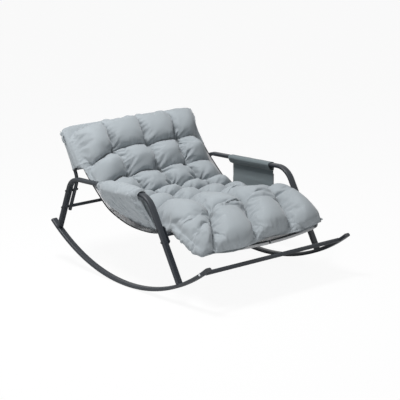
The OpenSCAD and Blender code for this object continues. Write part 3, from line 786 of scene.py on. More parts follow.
@dataclass
class SteelFrame:
    """The tubes, bolts and plugs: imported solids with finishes."""

    finishes: Finishes
    painted: tuple[str, ...] = ("rocker_rail_left", "rocker_rail_right", "arm_loop_left",
                                "arm_loop_right", "front_crossbar", "back_frame",
                                "rear_crossbar", "seat_frame", "seat_crossbar",
                                "seat_brackets")
    black: tuple[str, ...] = ("back_upper_bolts", "back_lower_bolts", "back_cap_nuts",
                              "seat_upper_bolts", "seat_lower_bolts", "seat_cap_nuts")
    zinc: tuple[str, ...] = ("front_crossbar_inserts", "front_crossbar_bolts",
                             "rear_crossbar_inserts")
    plastic: tuple[str, ...] = ("rail_plugs_front", "rail_plugs_rear", "back_frame_plugs",
                                "back_spacers")

    def dress(self, nodes: dict[str, bpy.types.Object]) -> None:
        """Give each node its finish.

        Args:
            nodes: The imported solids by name.
        """
        for names, finish in ((self.painted, self.finishes.frame),
                              (self.black, self.finishes.black_bolt),
                              (self.zinc, self.finishes.zinc),
                              (self.plastic, self.finishes.plastic)):
            for name in names:
                mesh = nodes[name].data
                mesh.materials.clear()
                mesh.materials.append(finish)
                LOG.info("%s dressed as %s", name, finish.name)


@dataclass
class SoftPart:
    """A soft sub-assembly: the lines that it follows and the finishes that it wears."""

    lines: Lines
    finishes: Finishes


@dataclass
class Sling(SoftPart):
    """Mesh sling with its sleeves and bindings."""

    half: float = 0.485
    thickness: float = 0.0012
    corner_cut: float = 0.075
    corner_run: float = 0.012
    top_half: float = 0.430
    front_half: float = 0.400
    slit: float = 0.007
    sleeve_wall: float = 0.0016
    binding_w: float = 0.0035
    binding_t: float = 0.0024
    binding_end: float = 0.105
    binding_square: float = 0.6
    roll: float = 0.0042
    roll_lift: float = 0.0182

    def front_edge(self, x: Array) -> Array:
        """Distance along the sling where it meets the front bar.

        The bar is two straights with an arc between them, and lies in the sling's plane.

        Args:
            x: Places across.

        Returns:
            The distances.
        """
        lines = self.lines
        slope = lines.bow_reach / lines.seat_x
        angle = math.atan(slope)
        room = math.hypot(lines.seat_x, lines.bow_reach) - lines.seat_bend * math.tan(
            (math.pi / 2 - angle) / 2)
        radius = lines.bow_part * room / math.tan(angle)
        depth = radius * (1 / math.cos(angle) - 1)
        arc = depth + radius - np.sqrt(np.maximum(radius ** 2 - x ** 2, 0))
        straight = np.abs(x) * slope
        return lines.length - np.where(np.abs(x) < radius * math.sin(angle), arc, straight)

    def sheet(self) -> bpy.types.Object:
        """The mesh sheet: x across, and the distance along the sling scaled to end on the bar.

        Returns:
            The object.
        """
        columns, rows = 121, 241
        part = np.linspace(0, 1, rows)[:, None]
        across = np.linspace(-1, 1, columns)[None, :]
        s0 = part * self.lines.length
        wide = rise(s0, self.corner_cut, self.corner_run)
        x = across * (self.top_half + (self.half - self.top_half) * wide)
        s = part * self.front_edge(x)
        points = self.lines.over(x, s, np.zeros_like(s))
        made = Maker.piece("sling_sheet", points, grid_faces(rows, columns)[:, ::-1],
                           self.finishes.mesh, "sling_mesh", ("sling",), stacked(x + 0.6, s))
        Maker.cloth_shell(made, self.thickness)
        return made

    def sleeve(self, name: str, centre: Array, radius: float) -> bpy.types.Object:
        """A cloth tube round a path.

        Args:
            name: The piece's name.
            centre: Points of the path.
            radius: Radius of the tube.

        Returns:
            The object. The tube's circle is swept with its plane across the path, and a small
            ripple along the path stands for the cloth's gathers.
        """
        turn = np.linspace(0, 2 * np.pi, 33)[None, :]
        along = units(np.gradient(centre, axis=0))
        side = units(np.cross(along, np.array([0.0, *self.lines.seat_up])))
        run = distances(centre)[:, None]
        ripple = 0.0003 * smooth_noise(run * 90, turn * 1.0, 7)
        points = tube(centre, radius + ripple, turn, np.cross(side, along), side)
        made = Maker.piece(name, points, grid_faces(*points.shape[:2]), self.finishes.sleeve,
                           "sling_mesh", (), stacked(run, turn * radius))
        Maker.cloth_shell(made, self.sleeve_wall)
        return made

    def bar_points(self, x: Array) -> Array:
        """Centre points of the front bar at x."""
        return self.lines.over(x, self.front_edge(x), np.full_like(x, -self.lines.hoop_lift))

    def binding(self, name: str, edge: int, node: str) -> bpy.types.Object:
        """Folded tape along one side of the sling: a rounded flat section swept along it.

        Args:
            name: The piece's name.
            edge: -1 for the left side, 1 for the right.
            node: The solid that it stands for.

        Returns:
            The object.
        """
        s = np.linspace(self.corner_cut + self.corner_run,
                        self.lines.length - self.binding_end, 260)[:, None]
        turn = np.linspace(0, 2 * np.pi, 17)[None, :]
        x = edge * (self.half + self.binding_w - 0.001) + edge * self.binding_w * signed_power(
            np.cos(turn), self.binding_square)
        h = self.binding_t * signed_power(np.sin(turn), self.binding_square)
        h = h * (1 + 0.08 * smooth_noise(s * 300, turn, 11))
        points = self.lines.over(x + 0 * s, s + 0 * turn, h)
        faces = grid_faces(*h.shape)
        return Maker.piece(name, points, faces if edge < 0 else faces[:, ::-1],
                           self.finishes.binding, "binding_tape", (node,), stacked(x, s))

    def front_binding(self) -> bpy.types.Object:
        """Dark round roll above the front sleeve, in two halves.

        Returns:
            The object.
        """
        parts, uvs, faces = [], [], []
        turn = np.linspace(0, 2 * np.pi, 13)[None, :]
        out, up = self.lines.seat_dir, self.lines.seat_up
        for side in (-1, 1):
            x = side * np.linspace(self.slit, self.front_half, 90)
            centre = self.bar_points(x)
            centre[:, 1:] += (0.6 * out + 0.8 * up) * self.roll_lift
            ring = tube(centre, self.roll, turn, np.array([0.0, *up]), np.array([0.0, *out]))
            quads = grid_faces(*ring.shape[:2]) + sum(len(p) for p in parts)
            faces.append(quads if side > 0 else quads[:, ::-1])
            parts.append(ring.reshape(-1, 3))
            uvs.append(stacked(np.abs(x)[:, None], self.roll * turn).reshape(-1, 2))
        return Maker.piece("sling_front_cord", np.vstack(parts), np.vstack(faces),
                           self.finishes.binding, "binding_tape", ("sling_front_binding",),
                           np.vstack(uvs))

    def build(self) -> None:
        sheet = self.sheet()
        x = np.linspace(-self.top_half, self.top_half, 120)
        sleeves = [self.sleeve("sling_top_sleeve", stacked(x, *self.lines.back_top),
                               self.lines.hoop_lift)]
        for name, ends in (("left", (-self.front_half, -self.slit)),
                           ("right", (self.slit, self.front_half))):
            sleeves.append(self.sleeve(f"sling_front_sleeve_{name}",
                                       self.bar_points(np.linspace(*ends, 90)),
                                       self.lines.hoop_lift))
        bindings = [self.binding("sling_binding_tape_left", -1, "sling_binding_left"),
                    self.binding("sling_binding_tape_right", 1, "sling_binding_right"),
                    self.front_binding()]
        LOG.info("sling made with %d sleeves and %d bindings", len(sleeves), len(bindings))


@dataclass
class Tufts:
    """Tufts of the cushion with the wrinkles that run from them, in the flat plane (x, s)."""

    places: Array
    reach: float = 0.050
    spread: float = 0.11
    dimple: float = 0.026
    depth: float = 0.036
    ripple: float = 0.0048
    crease: float = 0.0030
    crease_reach: float = 0.030
    seed: int = 41

    @staticmethod
    def polar(x: Array, s: Array, cx: float, cs: float) -> tuple[Array, Array]:
        """Distance and angle of places seen from a tuft at (cx, cs)."""
        return np.hypot(x - cx, s - cs), np.arctan2(s - cs, x - cx)

    def relief(self, x: Array, s: Array) -> Array:
        """Height that the dimples and the radial wrinkles add to the puffs.

        Args:
            x: Places across, in metres.
            s: Distances along the sling.

        Returns:
            The height, negative in the dimples.
        """
        rng = np.random.default_rng(self.seed)
        total = np.zeros(np.broadcast(x, s).shape)
        for cx, cs in self.places:
            r, turn = self.polar(x, s, cx, cs)
            waves = sum(rng.uniform(0.5, 1.0) * np.cos(n * turn + rng.uniform(0, 2 * np.pi))
                        for n in (5, 7, 8, 11))
            fade = (r / self.dimple) * np.exp(-r / self.reach) / (1 + (r / self.spread) ** 4)
            total += self.ripple * waves * fade
            total -= self.depth * np.exp(-(r / self.dimple) ** 2)
        return total

    def creases(self, x: Array, s: Array) -> Array:
        """Fine creases that run out from the tufts: sharp valleys between round folds.

        Args:
            x: Places across, in metres.
            s: Distances along the sling.

        Returns:
            The height that they add.
        """
        rng = np.random.default_rng(self.seed + 1)
        total = np.zeros(np.broadcast(x, s).shape)
        bend = smooth_noise(x * 22, s * 22, 71)
        for cx, cs in self.places:
            r, turn = self.polar(x, s, cx, cs)
            phase, count = rng.uniform(0, np.pi), rng.integers(5, 8)
            fold = 2 * np.abs(np.sin(count * turn + phase + 1.3 * bend)) - 1.1
            out = r / self.crease_reach
            total += self.crease * fold * out * np.exp(1 - out)
        return total


@dataclass
class Cushion(SoftPart):
    """Long tufted pad on the sling: full puffs on top, thin outer edges, a round nose."""

    puffs: int = 4
    seam: float = 0.22
    edge: float = 0.14
    lift: float = 0.0013
    start: float = -0.004
    start_round: float = 0.024
    nose_round: float = 0.085
    plan_round: float = 0.022
    bulge: float = 0.020
    overhang: float = 0.050
    nose_inset: float = 0.034
    mean_half: float = 0.48
    corner_drop: float = 0.062
    drift: float = 0.045
    gathers: float = 0.0035
    fold: float = 0.0022
    side_fold: float = 0.0050
    seam_reach: float = 0.17
    button: float = 0.014
    tuft_hold: float = 1.0
    front_tuft_hold: float = 0.4
    lap_bend: float = 1.1
    row_hold: float = 0.30
    column_hold: float = 0.80
    start_rows: int = 6
    middle_rows: int = 160
    nose_rows: int = 10
    top_columns: int = 111
    side_columns: int = 7
    under_columns: int = 9
    crowns: tuple[tuple[float, float], ...] = (
        (0.0, 0.046), (0.06, 0.088), (0.18, 0.106), (0.33, 0.108), (0.45, 0.078),
        (0.60, 0.082), (0.74, 0.118), (0.90, 0.154), (1.10, 0.158), (1.23, 0.146),
        (1.30, 0.130), (1.42, 0.116), (1.52, 0.100), (1.62, 0.090))
    right_widths: tuple[tuple[float, float], ...] = (
        (0.0, 0.524), (0.07, 0.516), (0.13, 0.490), (0.20, 0.474), (0.30, 0.460), (0.45, 0.452),
        (0.60, 0.460), (1.04, 0.468), (1.27, 0.482), (1.46, 0.500), (1.60, 0.494))
    left_widths: tuple[tuple[float, float], ...] = (
        (0.0, 0.502), (0.08, 0.513), (0.262, 0.517), (0.29, 0.500), (0.42, 0.492), (0.47, 0.462),
        (0.56, 0.450), (0.90, 0.448), (1.02, 0.458), (1.12, 0.474), (1.24, 0.490),
        (1.32, 0.502), (1.45, 0.508), (1.60, 0.500))
    left_full: tuple[tuple[float, float], ...] = (
        (0.0, 0.1), (0.30, 0.1), (0.50, 0.4), (0.80, 0.6), (1.10, 0.75), (1.30, 0.8),
        (1.56, 0.6))
    left_droop: tuple[tuple[float, float], ...] = (
        (0.0, 0.020), (0.10, 0.030), (0.262, 0.034), (0.280, 0.0), (1.00, 0.0), (1.20, 0.008),
        (1.34, 0.022), (1.44, 0.036), (1.60, 0.036))
    columns: tuple[tuple[float, float, float, float], ...] = (
        (0.0, -0.268, 0.0, 0.25), (0.225, -0.256, 0.008, 0.250), (0.418, -0.232, 0.004, 0.224),
        (0.585, -0.188, 0.028, 0.232), (0.722, -0.150, 0.050, 0.262),
        (0.96, -0.185, 0.030, 0.262), (1.245, -0.245, 0.030, 0.290),
        (1.50, -0.415, -0.100, 0.180))
    seam_depths: tuple[float, ...] = (1.0, 1.0, 1.0, 1.0, 1.0, 0.80, 0.0, 1.0)
    rows: tuple[float, ...] = (0.0, 0.225, 0.418, 0.585, 0.722, 0.960, 1.245)
    last_row: float = 0.020
    tuft_scatter: float = 0.004
    seed: int = 5

    def __post_init__(self) -> None:
        """Place the tufts, and set the end of the last row, which follows the front bar."""
        rng = np.random.default_rng(self.seed)
        places = []
        for s in self.rows[1:]:
            for column in range(1, self.puffs):
                x = self.column_line(column, s)
                places.append((x + rng.normal(0, self.tuft_scatter),
                               s + self.slant(x, s) + rng.normal(0, self.tuft_scatter)))
        self.tufts = Tufts(np.array(places))
        self.rows = (*self.rows, self.lines.length + self.last_row)

    def table(self, name: str, s: Array) -> Array:
        """Value of one of the cushion's tables at distances along the sling."""
        pairs = np.array(getattr(self, name))
        return np.interp(s, pairs[:, 0], pairs[:, 1])

    def row(self, s: Array) -> Array:
        """Row coordinate, whole at each row of tufts."""
        return np.interp(s, self.rows, np.arange(len(self.rows)))

    def column_line(self, column: int, s: Array) -> Array:
        """Place across of a line of tufts, or of an outer edge.

        Args:
            column: The line, from 0 at the left edge to the number of puffs at the right.
            s: Distances along the sling.

        Returns:
            The places across.
        """
        if column == 0:
            return self.bulge - self.table("left_widths", s)
        if column == self.puffs:
            return self.table("right_widths", s) - self.bulge
        lines = np.array(self.columns)
        return np.interp(s, lines[:, 0], lines[:, column])

    def column(self, x: Array, s: Array) -> Array:
        """Column coordinate: 0 at the left edge, whole at each line of tufts."""
        lines = [self.column_line(k, s) for k in range(self.puffs + 1)]
        return sum(np.clip((x - a) / (b - a), 0, 1) for a, b in zip(lines[:-1], lines[1:]))

    def slant(self, x: Array, s: Array) -> Array:
        """How much further along a row lies at x: it falls to the left near both ends."""
        left = rise(-x, 0.25, 0.23) * np.interp(s, (0.1, 0.3, 0.6, 0.9), (0.05, 0.075, 0.04, 0.0))
        return left - 0.12 * x * rise(s, 1.0, 0.2)

    def height(self, x: Array, s: Array) -> Array:
        """Height over the sling: each puff is a product of sines over a raised seam.

        Args:
            x: Places across.
            s: Distances along the sling.

        Returns:
            The height in metres.
        """
        drift = self.drift * smooth_noise(x * 14, s * 14, 3, 2)
        fingers = rise(s, 1.25, 0.25)
        u = self.column(x, s)
        near = np.minimum(u, self.puffs - u)
        inside = np.clip(2 * near, 0, 1)
        u = u + drift * inside
        v = self.row(s - self.slant(x, s)) + 0.8 * drift
        full = np.where(x < 0, self.table("left_full", s), 0.0)
        across = np.abs(np.sin(np.pi * u)) ** np.where(near < 0.5, 1.4 - 1.0 * full, 0.5)
        across = across + (1 - across) * 0.9 * fall(s, 0.16, 0.16) * inside
        along = np.sqrt(np.abs(np.sin(np.pi * np.clip(v, 0.02, len(self.rows) - 1.02))))
        along = 1 - (1 - along) * np.interp(v, np.arange(len(self.rows)), self.seam_depths)
        edge = self.edge + 0.5 * full * (self.seam - self.edge) / 0.28
        seam = self.seam - 0.06 * fingers
        seam = edge + (seam - edge) * np.minimum(1, near)
        share = 1 + 0.05 * np.sin((np.round(u - 0.5) * 7.3 + np.round(v - 0.5) * 3.1) * 2.7)
        thin_right = 0.20 * rise(x, 0.10, 0.25) * rise(s, 0.7, 0.2) * fall(s, 1.3, 0.15)
        gather = fingers ** 2 * np.exp(-(np.abs(u - np.round(u)) / 0.16) ** 2)
        inner = np.minimum(np.minimum(u, self.puffs - u), 1) * np.clip(v, 0, 1)
        return (self.table("crowns", s) * (1 - thin_right) * share
                * (seam + (1 - seam) * across * along)
                + self.tufts.relief(x, s) * inner
                + self.gathers * gather * np.sin(x * 330 + 3 * np.sin(s * 40)))

    @staticmethod
    def near_line(value: Array, reach: float) -> Array:
        """One on the nearest whole value, and less away from it as a bell."""
        return np.exp(-((value - np.round(value)) / reach) ** 2)

    def wrinkles(self, x: Array, s: Array) -> Array:
        """Fine folds of the cloth: from the tufts, across the seams, and down the left side.

        Args:
            x: Places across, in metres.
            s: Distances along the sling.

        Returns:
            The height that they add.
        """
        u, v = self.column(x, s), self.row(s - self.slant(x, s))
        bend = smooth_noise(x * 18, s * 18, 73)
        by_column = self.near_line(u, self.seam_reach) * (u > 0.5) * (u < self.puffs - 0.5)
        by_row = self.near_line(v, self.seam_reach) * (v > 0.5) * (v < 5.5)
        fold = 2 * np.abs(np.sin(s * 140 + 9 * np.abs(u - np.round(u)) + 2.2 * bend)) - 1.1
        cross = 2 * np.abs(np.sin(x * 150 + 2.2 * bend)) - 1.1
        left = rise(-x, 0.36, 0.08) * rise(s, 0.80, 0.15) * fall(s, 1.27, 0.10)
        side = 1 - 2.2 * np.abs(smooth_noise(s * 34 + x * 16, x * 12, 79))
        patch = np.clip(0.6 + smooth_noise(x * 9, s * 9, 83), 0.15, 1.2)
        return (self.tufts.creases(x, s) + self.fold * patch * (by_column * fold + by_row * cross)
                - self.side_fold * left * side)

    def rings(self) -> tuple[Array, Array, Array]:
        """Rows of the pad: its rounded start, its even middle and its rounded nose.

        Returns:
            The share of the way along, a shift that rounds the ends, and a share of the height.
        """
        start = np.linspace(0.16, np.pi / 2, self.start_rows + 1)[:-1]
        nose = np.linspace(np.pi / 2, 0.16, self.nose_rows + 1)[1:]
        along = np.r_[0 * start, np.linspace(0, 1, self.middle_rows), 1 + 0 * nose]
        shift = np.r_[-self.start_round * np.cos(start), np.zeros(self.middle_rows),
                      self.nose_round * np.cos(nose)]
        share = np.r_[np.sin(start), np.ones(self.middle_rows), np.sin(nose)]
        return along[:, None], shift[:, None], share[:, None]

    def surface(self) -> tuple[Array, Array, Array]:
        """Rings across the sling: over the top, round the right side, back below, and up again.

        Past the front bar the top bends down with the square of the distance beyond it. The
        sides are half circles between the height of the top's edge and the sling.

        Returns:
            The points and their flat places, row by row, and how firmly each is held.
        """
        along, shift, share = self.rings()
        side, under = np.ones(self.side_columns), np.linspace(0.985, -0.985, self.under_columns)
        q = np.r_[np.linspace(-1, 1, self.top_columns), side, under, -side][None]
        part = np.r_[np.zeros(self.top_columns), side, 2 + 0 * under, side][None]
        is_side, is_under = part == 1, part == 2
        round_side = np.linspace(np.pi / 2, -np.pi / 2, self.side_columns + 1)[1:]
        turn = np.r_[np.zeros(self.top_columns), round_side, 0 * under, round_side[::-1]][None]
        outer = np.abs(q)
        left = q < 0

        # How far along the sling each vertex lies, with a nose that hangs over the front bar
        x_guess = q * self.mean_half
        front = Sling(self.lines, self.finishes).front_edge(x_guess)
        hang = self.overhang * (0.79 - 0.53 * np.tanh((x_guess + 0.17) / 0.05)
                                + 0.72 * rise(x_guess, 0.16, 0.08))
        plan = rise(outer, 0.84, 0.16) * np.where(left, 0.8, 1.0)
        end = front - 0.012 + hang - self.nose_round - self.plan_round * plan ** 2
        s = self.start + self.start_round + (end - self.start - self.start_round) * along + shift

        # Its place across and its height
        width = np.where(left, self.table("left_widths", s), self.table("right_widths", s))
        bulge = self.bulge * (0.35 + 0.65 * share)
        half = width - self.nose_inset * (1 - share) ** 2 * (along > 0.5) - bulge
        droop = np.where(left, self.table("left_droop", s), 0.0) * rise(outer, 0.90, 0.10)
        h = self.height(q * half, s)
        h_side = (h - droop) / 2 + (h + droop) / 2 * np.sin(turn)
        x = np.where(is_side, np.sign(q) * (half + bulge * np.cos(turn)), q * half)
        h = np.where(is_side, h_side, np.where(is_under, 0.0, h))
        centre = self.table("crowns", s) * np.where(along > 0.5, 0.30, 0.08)
        h = centre + (h - centre) * share
        over = np.maximum(s - front + np.where(is_under, -0.012, 0.030), 0)
        h = h - (3.35 - 1.35 * np.tanh((x + 0.17) / 0.10)) * over ** 2 * (along > 0.5)
        h = h - 0.6 * (is_under | is_side) * np.maximum(s - front - 0.012, 0)
        corner = np.where(left, rise(-q, 0.45, 0.55), 0.35 * rise(q, 0.80, 0.20))
        h = h - self.corner_drop * (corner * fall(s, 0.10, 0.10)) ** 1.5

        # How firmly the cloth is held: below, at the sides, under the hood and at the nose's tips
        held = np.where(is_under, 1.0, np.where(is_side, 0.35, 0.0)) + 0 * s
        held = np.maximum(held, 0.9 * rise(outer, 0.90, 0.10) * fall(s, 0.32, 0.04))
        held = np.maximum(held, rise(outer, 0.90, 0.05) * rise(s, front - 0.05, 0.03))
        return self.lines.over(x, s, h + self.lift), stacked(x, s), held

    def hold(self, flat: Array, held: Array) -> Array:
        """Hold the cloth at the tufts and, less firmly, along the seams between them.

        Args:
            flat: Flat places of the vertices, as (x, s) in the last axis.
            held: How firmly each is held so far.

        Returns:
            How firmly each is held.
        """
        x, s = np.moveaxis(flat, -1, 0)
        for cx, cs in self.tufts.places:
            firm = self.tuft_hold if cs < self.lap_bend else self.front_tuft_hold
            near = np.hypot(x - cx, s - cs) < self.button
            held = np.maximum(held, np.where(near, firm, 0.0))
        v, u = self.row(s - self.slant(x, s)), self.column(x, s)
        held = np.maximum(held, self.row_hold * self.near_line(v, 0.05) * (v < 5.5))
        held = np.maximum(held, self.column_hold * self.near_line(u, 0.05)
                          * (np.abs(u - self.puffs / 2) < self.puffs / 2 - 0.5) * (s > 0.14))
        held[:3] = held[-2:] = 1.0
        return held

    def build(self) -> None:
        """Make the pad, let its cloth settle, and smooth it."""
        points, flat, held = self.surface()
        rows, columns = held.shape
        step = np.linalg.norm(np.diff(points, axis=1, prepend=points[:, :1]), axis=2)
        made = Maker.piece("cushion_puffs", points,
                           closed_faces(rows, columns), self.finishes.cushion,
                           "cushion_cloth", ("cushion_pad",),
                           stacked(np.cumsum(step, axis=1), flat[..., 1]))
        held = self.hold(flat, held)
        ClothSettler().settle(made, held.ravel())
        on_top = (np.arange(columns) < self.top_columns) & (
            np.arange(rows) >= self.start_rows)[:, None]
        Maker.press(made, stacked(flat[..., 0], flat[..., 1], on_top), self.wrinkles)
        LOG.info("cushion made of %d by %d points", rows, columns)


@dataclass
class ClothSettler:
    """Short cloth simulation that wrinkles a closed soft piece, taken into its mesh."""

    frames: int = 24
    pressure: float = 6.0
    slack: float = 0.20
    bending: float = 0.02
    stiffness: float = 12.0
    damping: float = 6.0
    limit: float = 0.032
    levels: int = 20

    def settle(self, made: bpy.types.Object, held: Array) -> None:
        """Blow the piece up with some slack in its cloth, and keep the shape it takes.

        Args:
            made: The closed piece.
            held: How firmly each vertex keeps its place, from 0 to 1.
        """
        rest = Maker.points(made.data)
        group = made.vertex_groups.new(name="held")
        for level in range(1, self.levels + 1):
            chosen = np.nonzero(np.round(held * self.levels) == level)[0]
            if len(chosen):
                group.add(chosen.tolist(), level / self.levels, "REPLACE")
        cloth = made.modifiers.new("cloth", "CLOTH")
        how = cloth.settings
        how.quality, how.mass, how.air_damping = 5, 0.25, 4.0
        how.tension_stiffness = how.compression_stiffness = self.stiffness
        how.shear_stiffness, how.bending_stiffness = 0.5 * self.stiffness, self.bending
        how.tension_damping = how.compression_damping = self.damping
        how.use_pressure, how.uniform_pressure_force = True, self.pressure
        how.shrink_min = -self.slack
        how.vertex_group_mass, how.pin_stiffness = "held", 1.0
        how.effector_weights.gravity = 0.0
        cloth.collision_settings.use_collision = False
        cloth.point_cache.frame_start, cloth.point_cache.frame_end = 1, self.frames
        scene = bpy.context.scene
        for frame in range(1, self.frames + 1):
            scene.frame_set(frame)
        settled = made.evaluated_get(bpy.context.evaluated_depsgraph_get())
        shift = Maker.points(settled.to_mesh()) - rest
        settled.to_mesh_clear()
        made.modifiers.clear()
        size = np.nan_to_num(np.linalg.norm(shift, axis=1, keepdims=True), nan=0.0)
        shift = np.nan_to_num(shift) * np.minimum(1, self.limit / np.maximum(size, TINY))
        Maker.move(made.data, rest + shift)
        scene.frame_set(1)
        LOG.info("%s settled, mean move %.1f mm", made.name, 1000 * float(size.mean()))


@dataclass
class Hood(SoftPart):
    """Cloth hood over the top of the back frame, open below, with the pad on its front."""

    half: float = 0.5205
    length: float = 0.262
    radius: float = 0.0165
    rounding: float = 0.022
    corner: float = 0.100
    corner_fall: float = 0.030
    wall: float = 0.003
    gap: float = 0.006
    hem_share: float = 0.12
    narrowing: float = 0.020
    columns: int = 90
    round_columns: int = 6
    rear_rows: int = 43
    front_rows: int = 40
    turn_rows: int = 15

    def outline(self) -> tuple[Array, Array]:
        """Side view of the hood, from its rear hem over the top bar to its front hem.

        Returns:
            The points as (y, z), and their distance from the top.
        """
        lines = self.lines
        top, back = np.array(lines.back_top), lines.back_dir
        away = -lines.back_front
        behind = top + self.radius * away
        rear = np.linspace(behind + self.length * back, behind, self.rear_rows + 1)[:-1]
        ahead = lines.up(np.array([0.004]))[0]
        rear_turn, front_turn = (math.atan2(d[1], d[0]) for d in (away, ahead))
        if front_turn < rear_turn - math.pi:
            front_turn += 2 * math.pi
        turns = np.linspace(rear_turn, front_turn, self.turn_rows)[:, None]
        arc = top + self.radius * np.hstack([np.cos(turns), np.sin(turns)])
        s = np.linspace(0.004, self.length, self.front_rows)[1:]
        line = np.vstack([rear, arc, lines.at(s) + self.gap * lines.up(s)])
        return line, np.abs((line - top) @ back)

    def across(self) -> tuple[Array, Array, Array]:
        """Outlines across the chair: a side panel, a round corner, the top, and back again.

        Returns:
            Their places across, how far each is drawn in, and the share of its size.
        """
        quarter = np.linspace(0, np.pi / 2, self.round_columns + 1)
        reach = self.half - self.rounding
        edge, panel = np.full(self.round_columns, self.half), np.full(self.round_columns, 1.0)
        hem = np.linspace(1, self.hem_share, self.round_columns + 1)[1:]
        x = np.r_[-edge, -reach - self.rounding * np.cos(quarter[:-1]),
                  np.linspace(-1, 1, self.columns) * reach,
                  reach + self.rounding * np.sin(quarter[1:]), edge]
        inset = self.rounding * np.r_[panel, 1 - np.sin(quarter[:-1]), np.zeros(self.columns),
                                      1 - np.cos(quarter[1:]), panel]
        share = np.r_[hem[::-1], panel, np.ones(self.columns), panel, hem]
        return x[:, None], inset[:, None, None], share[:, None, None]

    def build(self) -> None:
        """Make the hood: outlines across the chair, with round corners and side panels."""
        line, down = self.outline()
        x, inset, share = self.across()
        reach = self.half - self.rounding
        core = 0.5 * (line + line[::-1])
        normal = units(np.gradient(line, axis=0))
        normal = stacked(-normal[:, 1], normal[:, 0])
        inwards = np.where(((line - core) * normal).sum(axis=1, keepdims=True) > 0, -1, 1) * normal
        section = core + (line + inset * inwards - core) * share
        edge = rise(np.abs(x), self.half - self.corner, self.corner)
        fall_off = self.corner_fall * edge ** 2 * np.where(x < 0, 1.0, 0.5)
        section += (fall_off * np.exp(-down / 0.03))[..., None] * self.lines.back_dir
        x, down = np.broadcast_arrays(x, down)
        folds = smooth_noise(x * 9, down * 22, 23) + 0.5 * smooth_noise(x * 40, down * 12, 29)
        section -= (0.0028 * folds * np.clip(down / 0.05, 0.15, 1))[..., None] * inwards
        side = 0.0020 * smooth_noise(down * 38, share[..., 0] * 2.5 + 0 * down, 31)
        side = np.sign(x) * side * (np.abs(x) > reach) * np.clip(down / 0.06, 0.2, 1)
        rows, columns = x.shape
        front = np.arange(columns) > self.rear_rows + self.turn_rows // 2
        narrow = front * rise(down, 0.04, 0.08) * (x > 0) * rise(x, reach - 0.03, 0.05)
        points = stacked(x + side - self.narrowing * narrow, section[..., 0], section[..., 1])
        step = np.linalg.norm(np.diff(points, axis=0, prepend=points[:1]), axis=2)
        made = Maker.piece("cushion_hood_cloth", points, grid_faces(rows, columns),
                           self.finishes.cushion, "cushion_cloth", ("cushion_hood",),
                           stacked(np.cumsum(step, axis=0), down + front * 0.3))
        Maker.cloth_shell(made, self.wall, -1.0)
        LOG.info("hood made of %d by %d points", rows, columns)


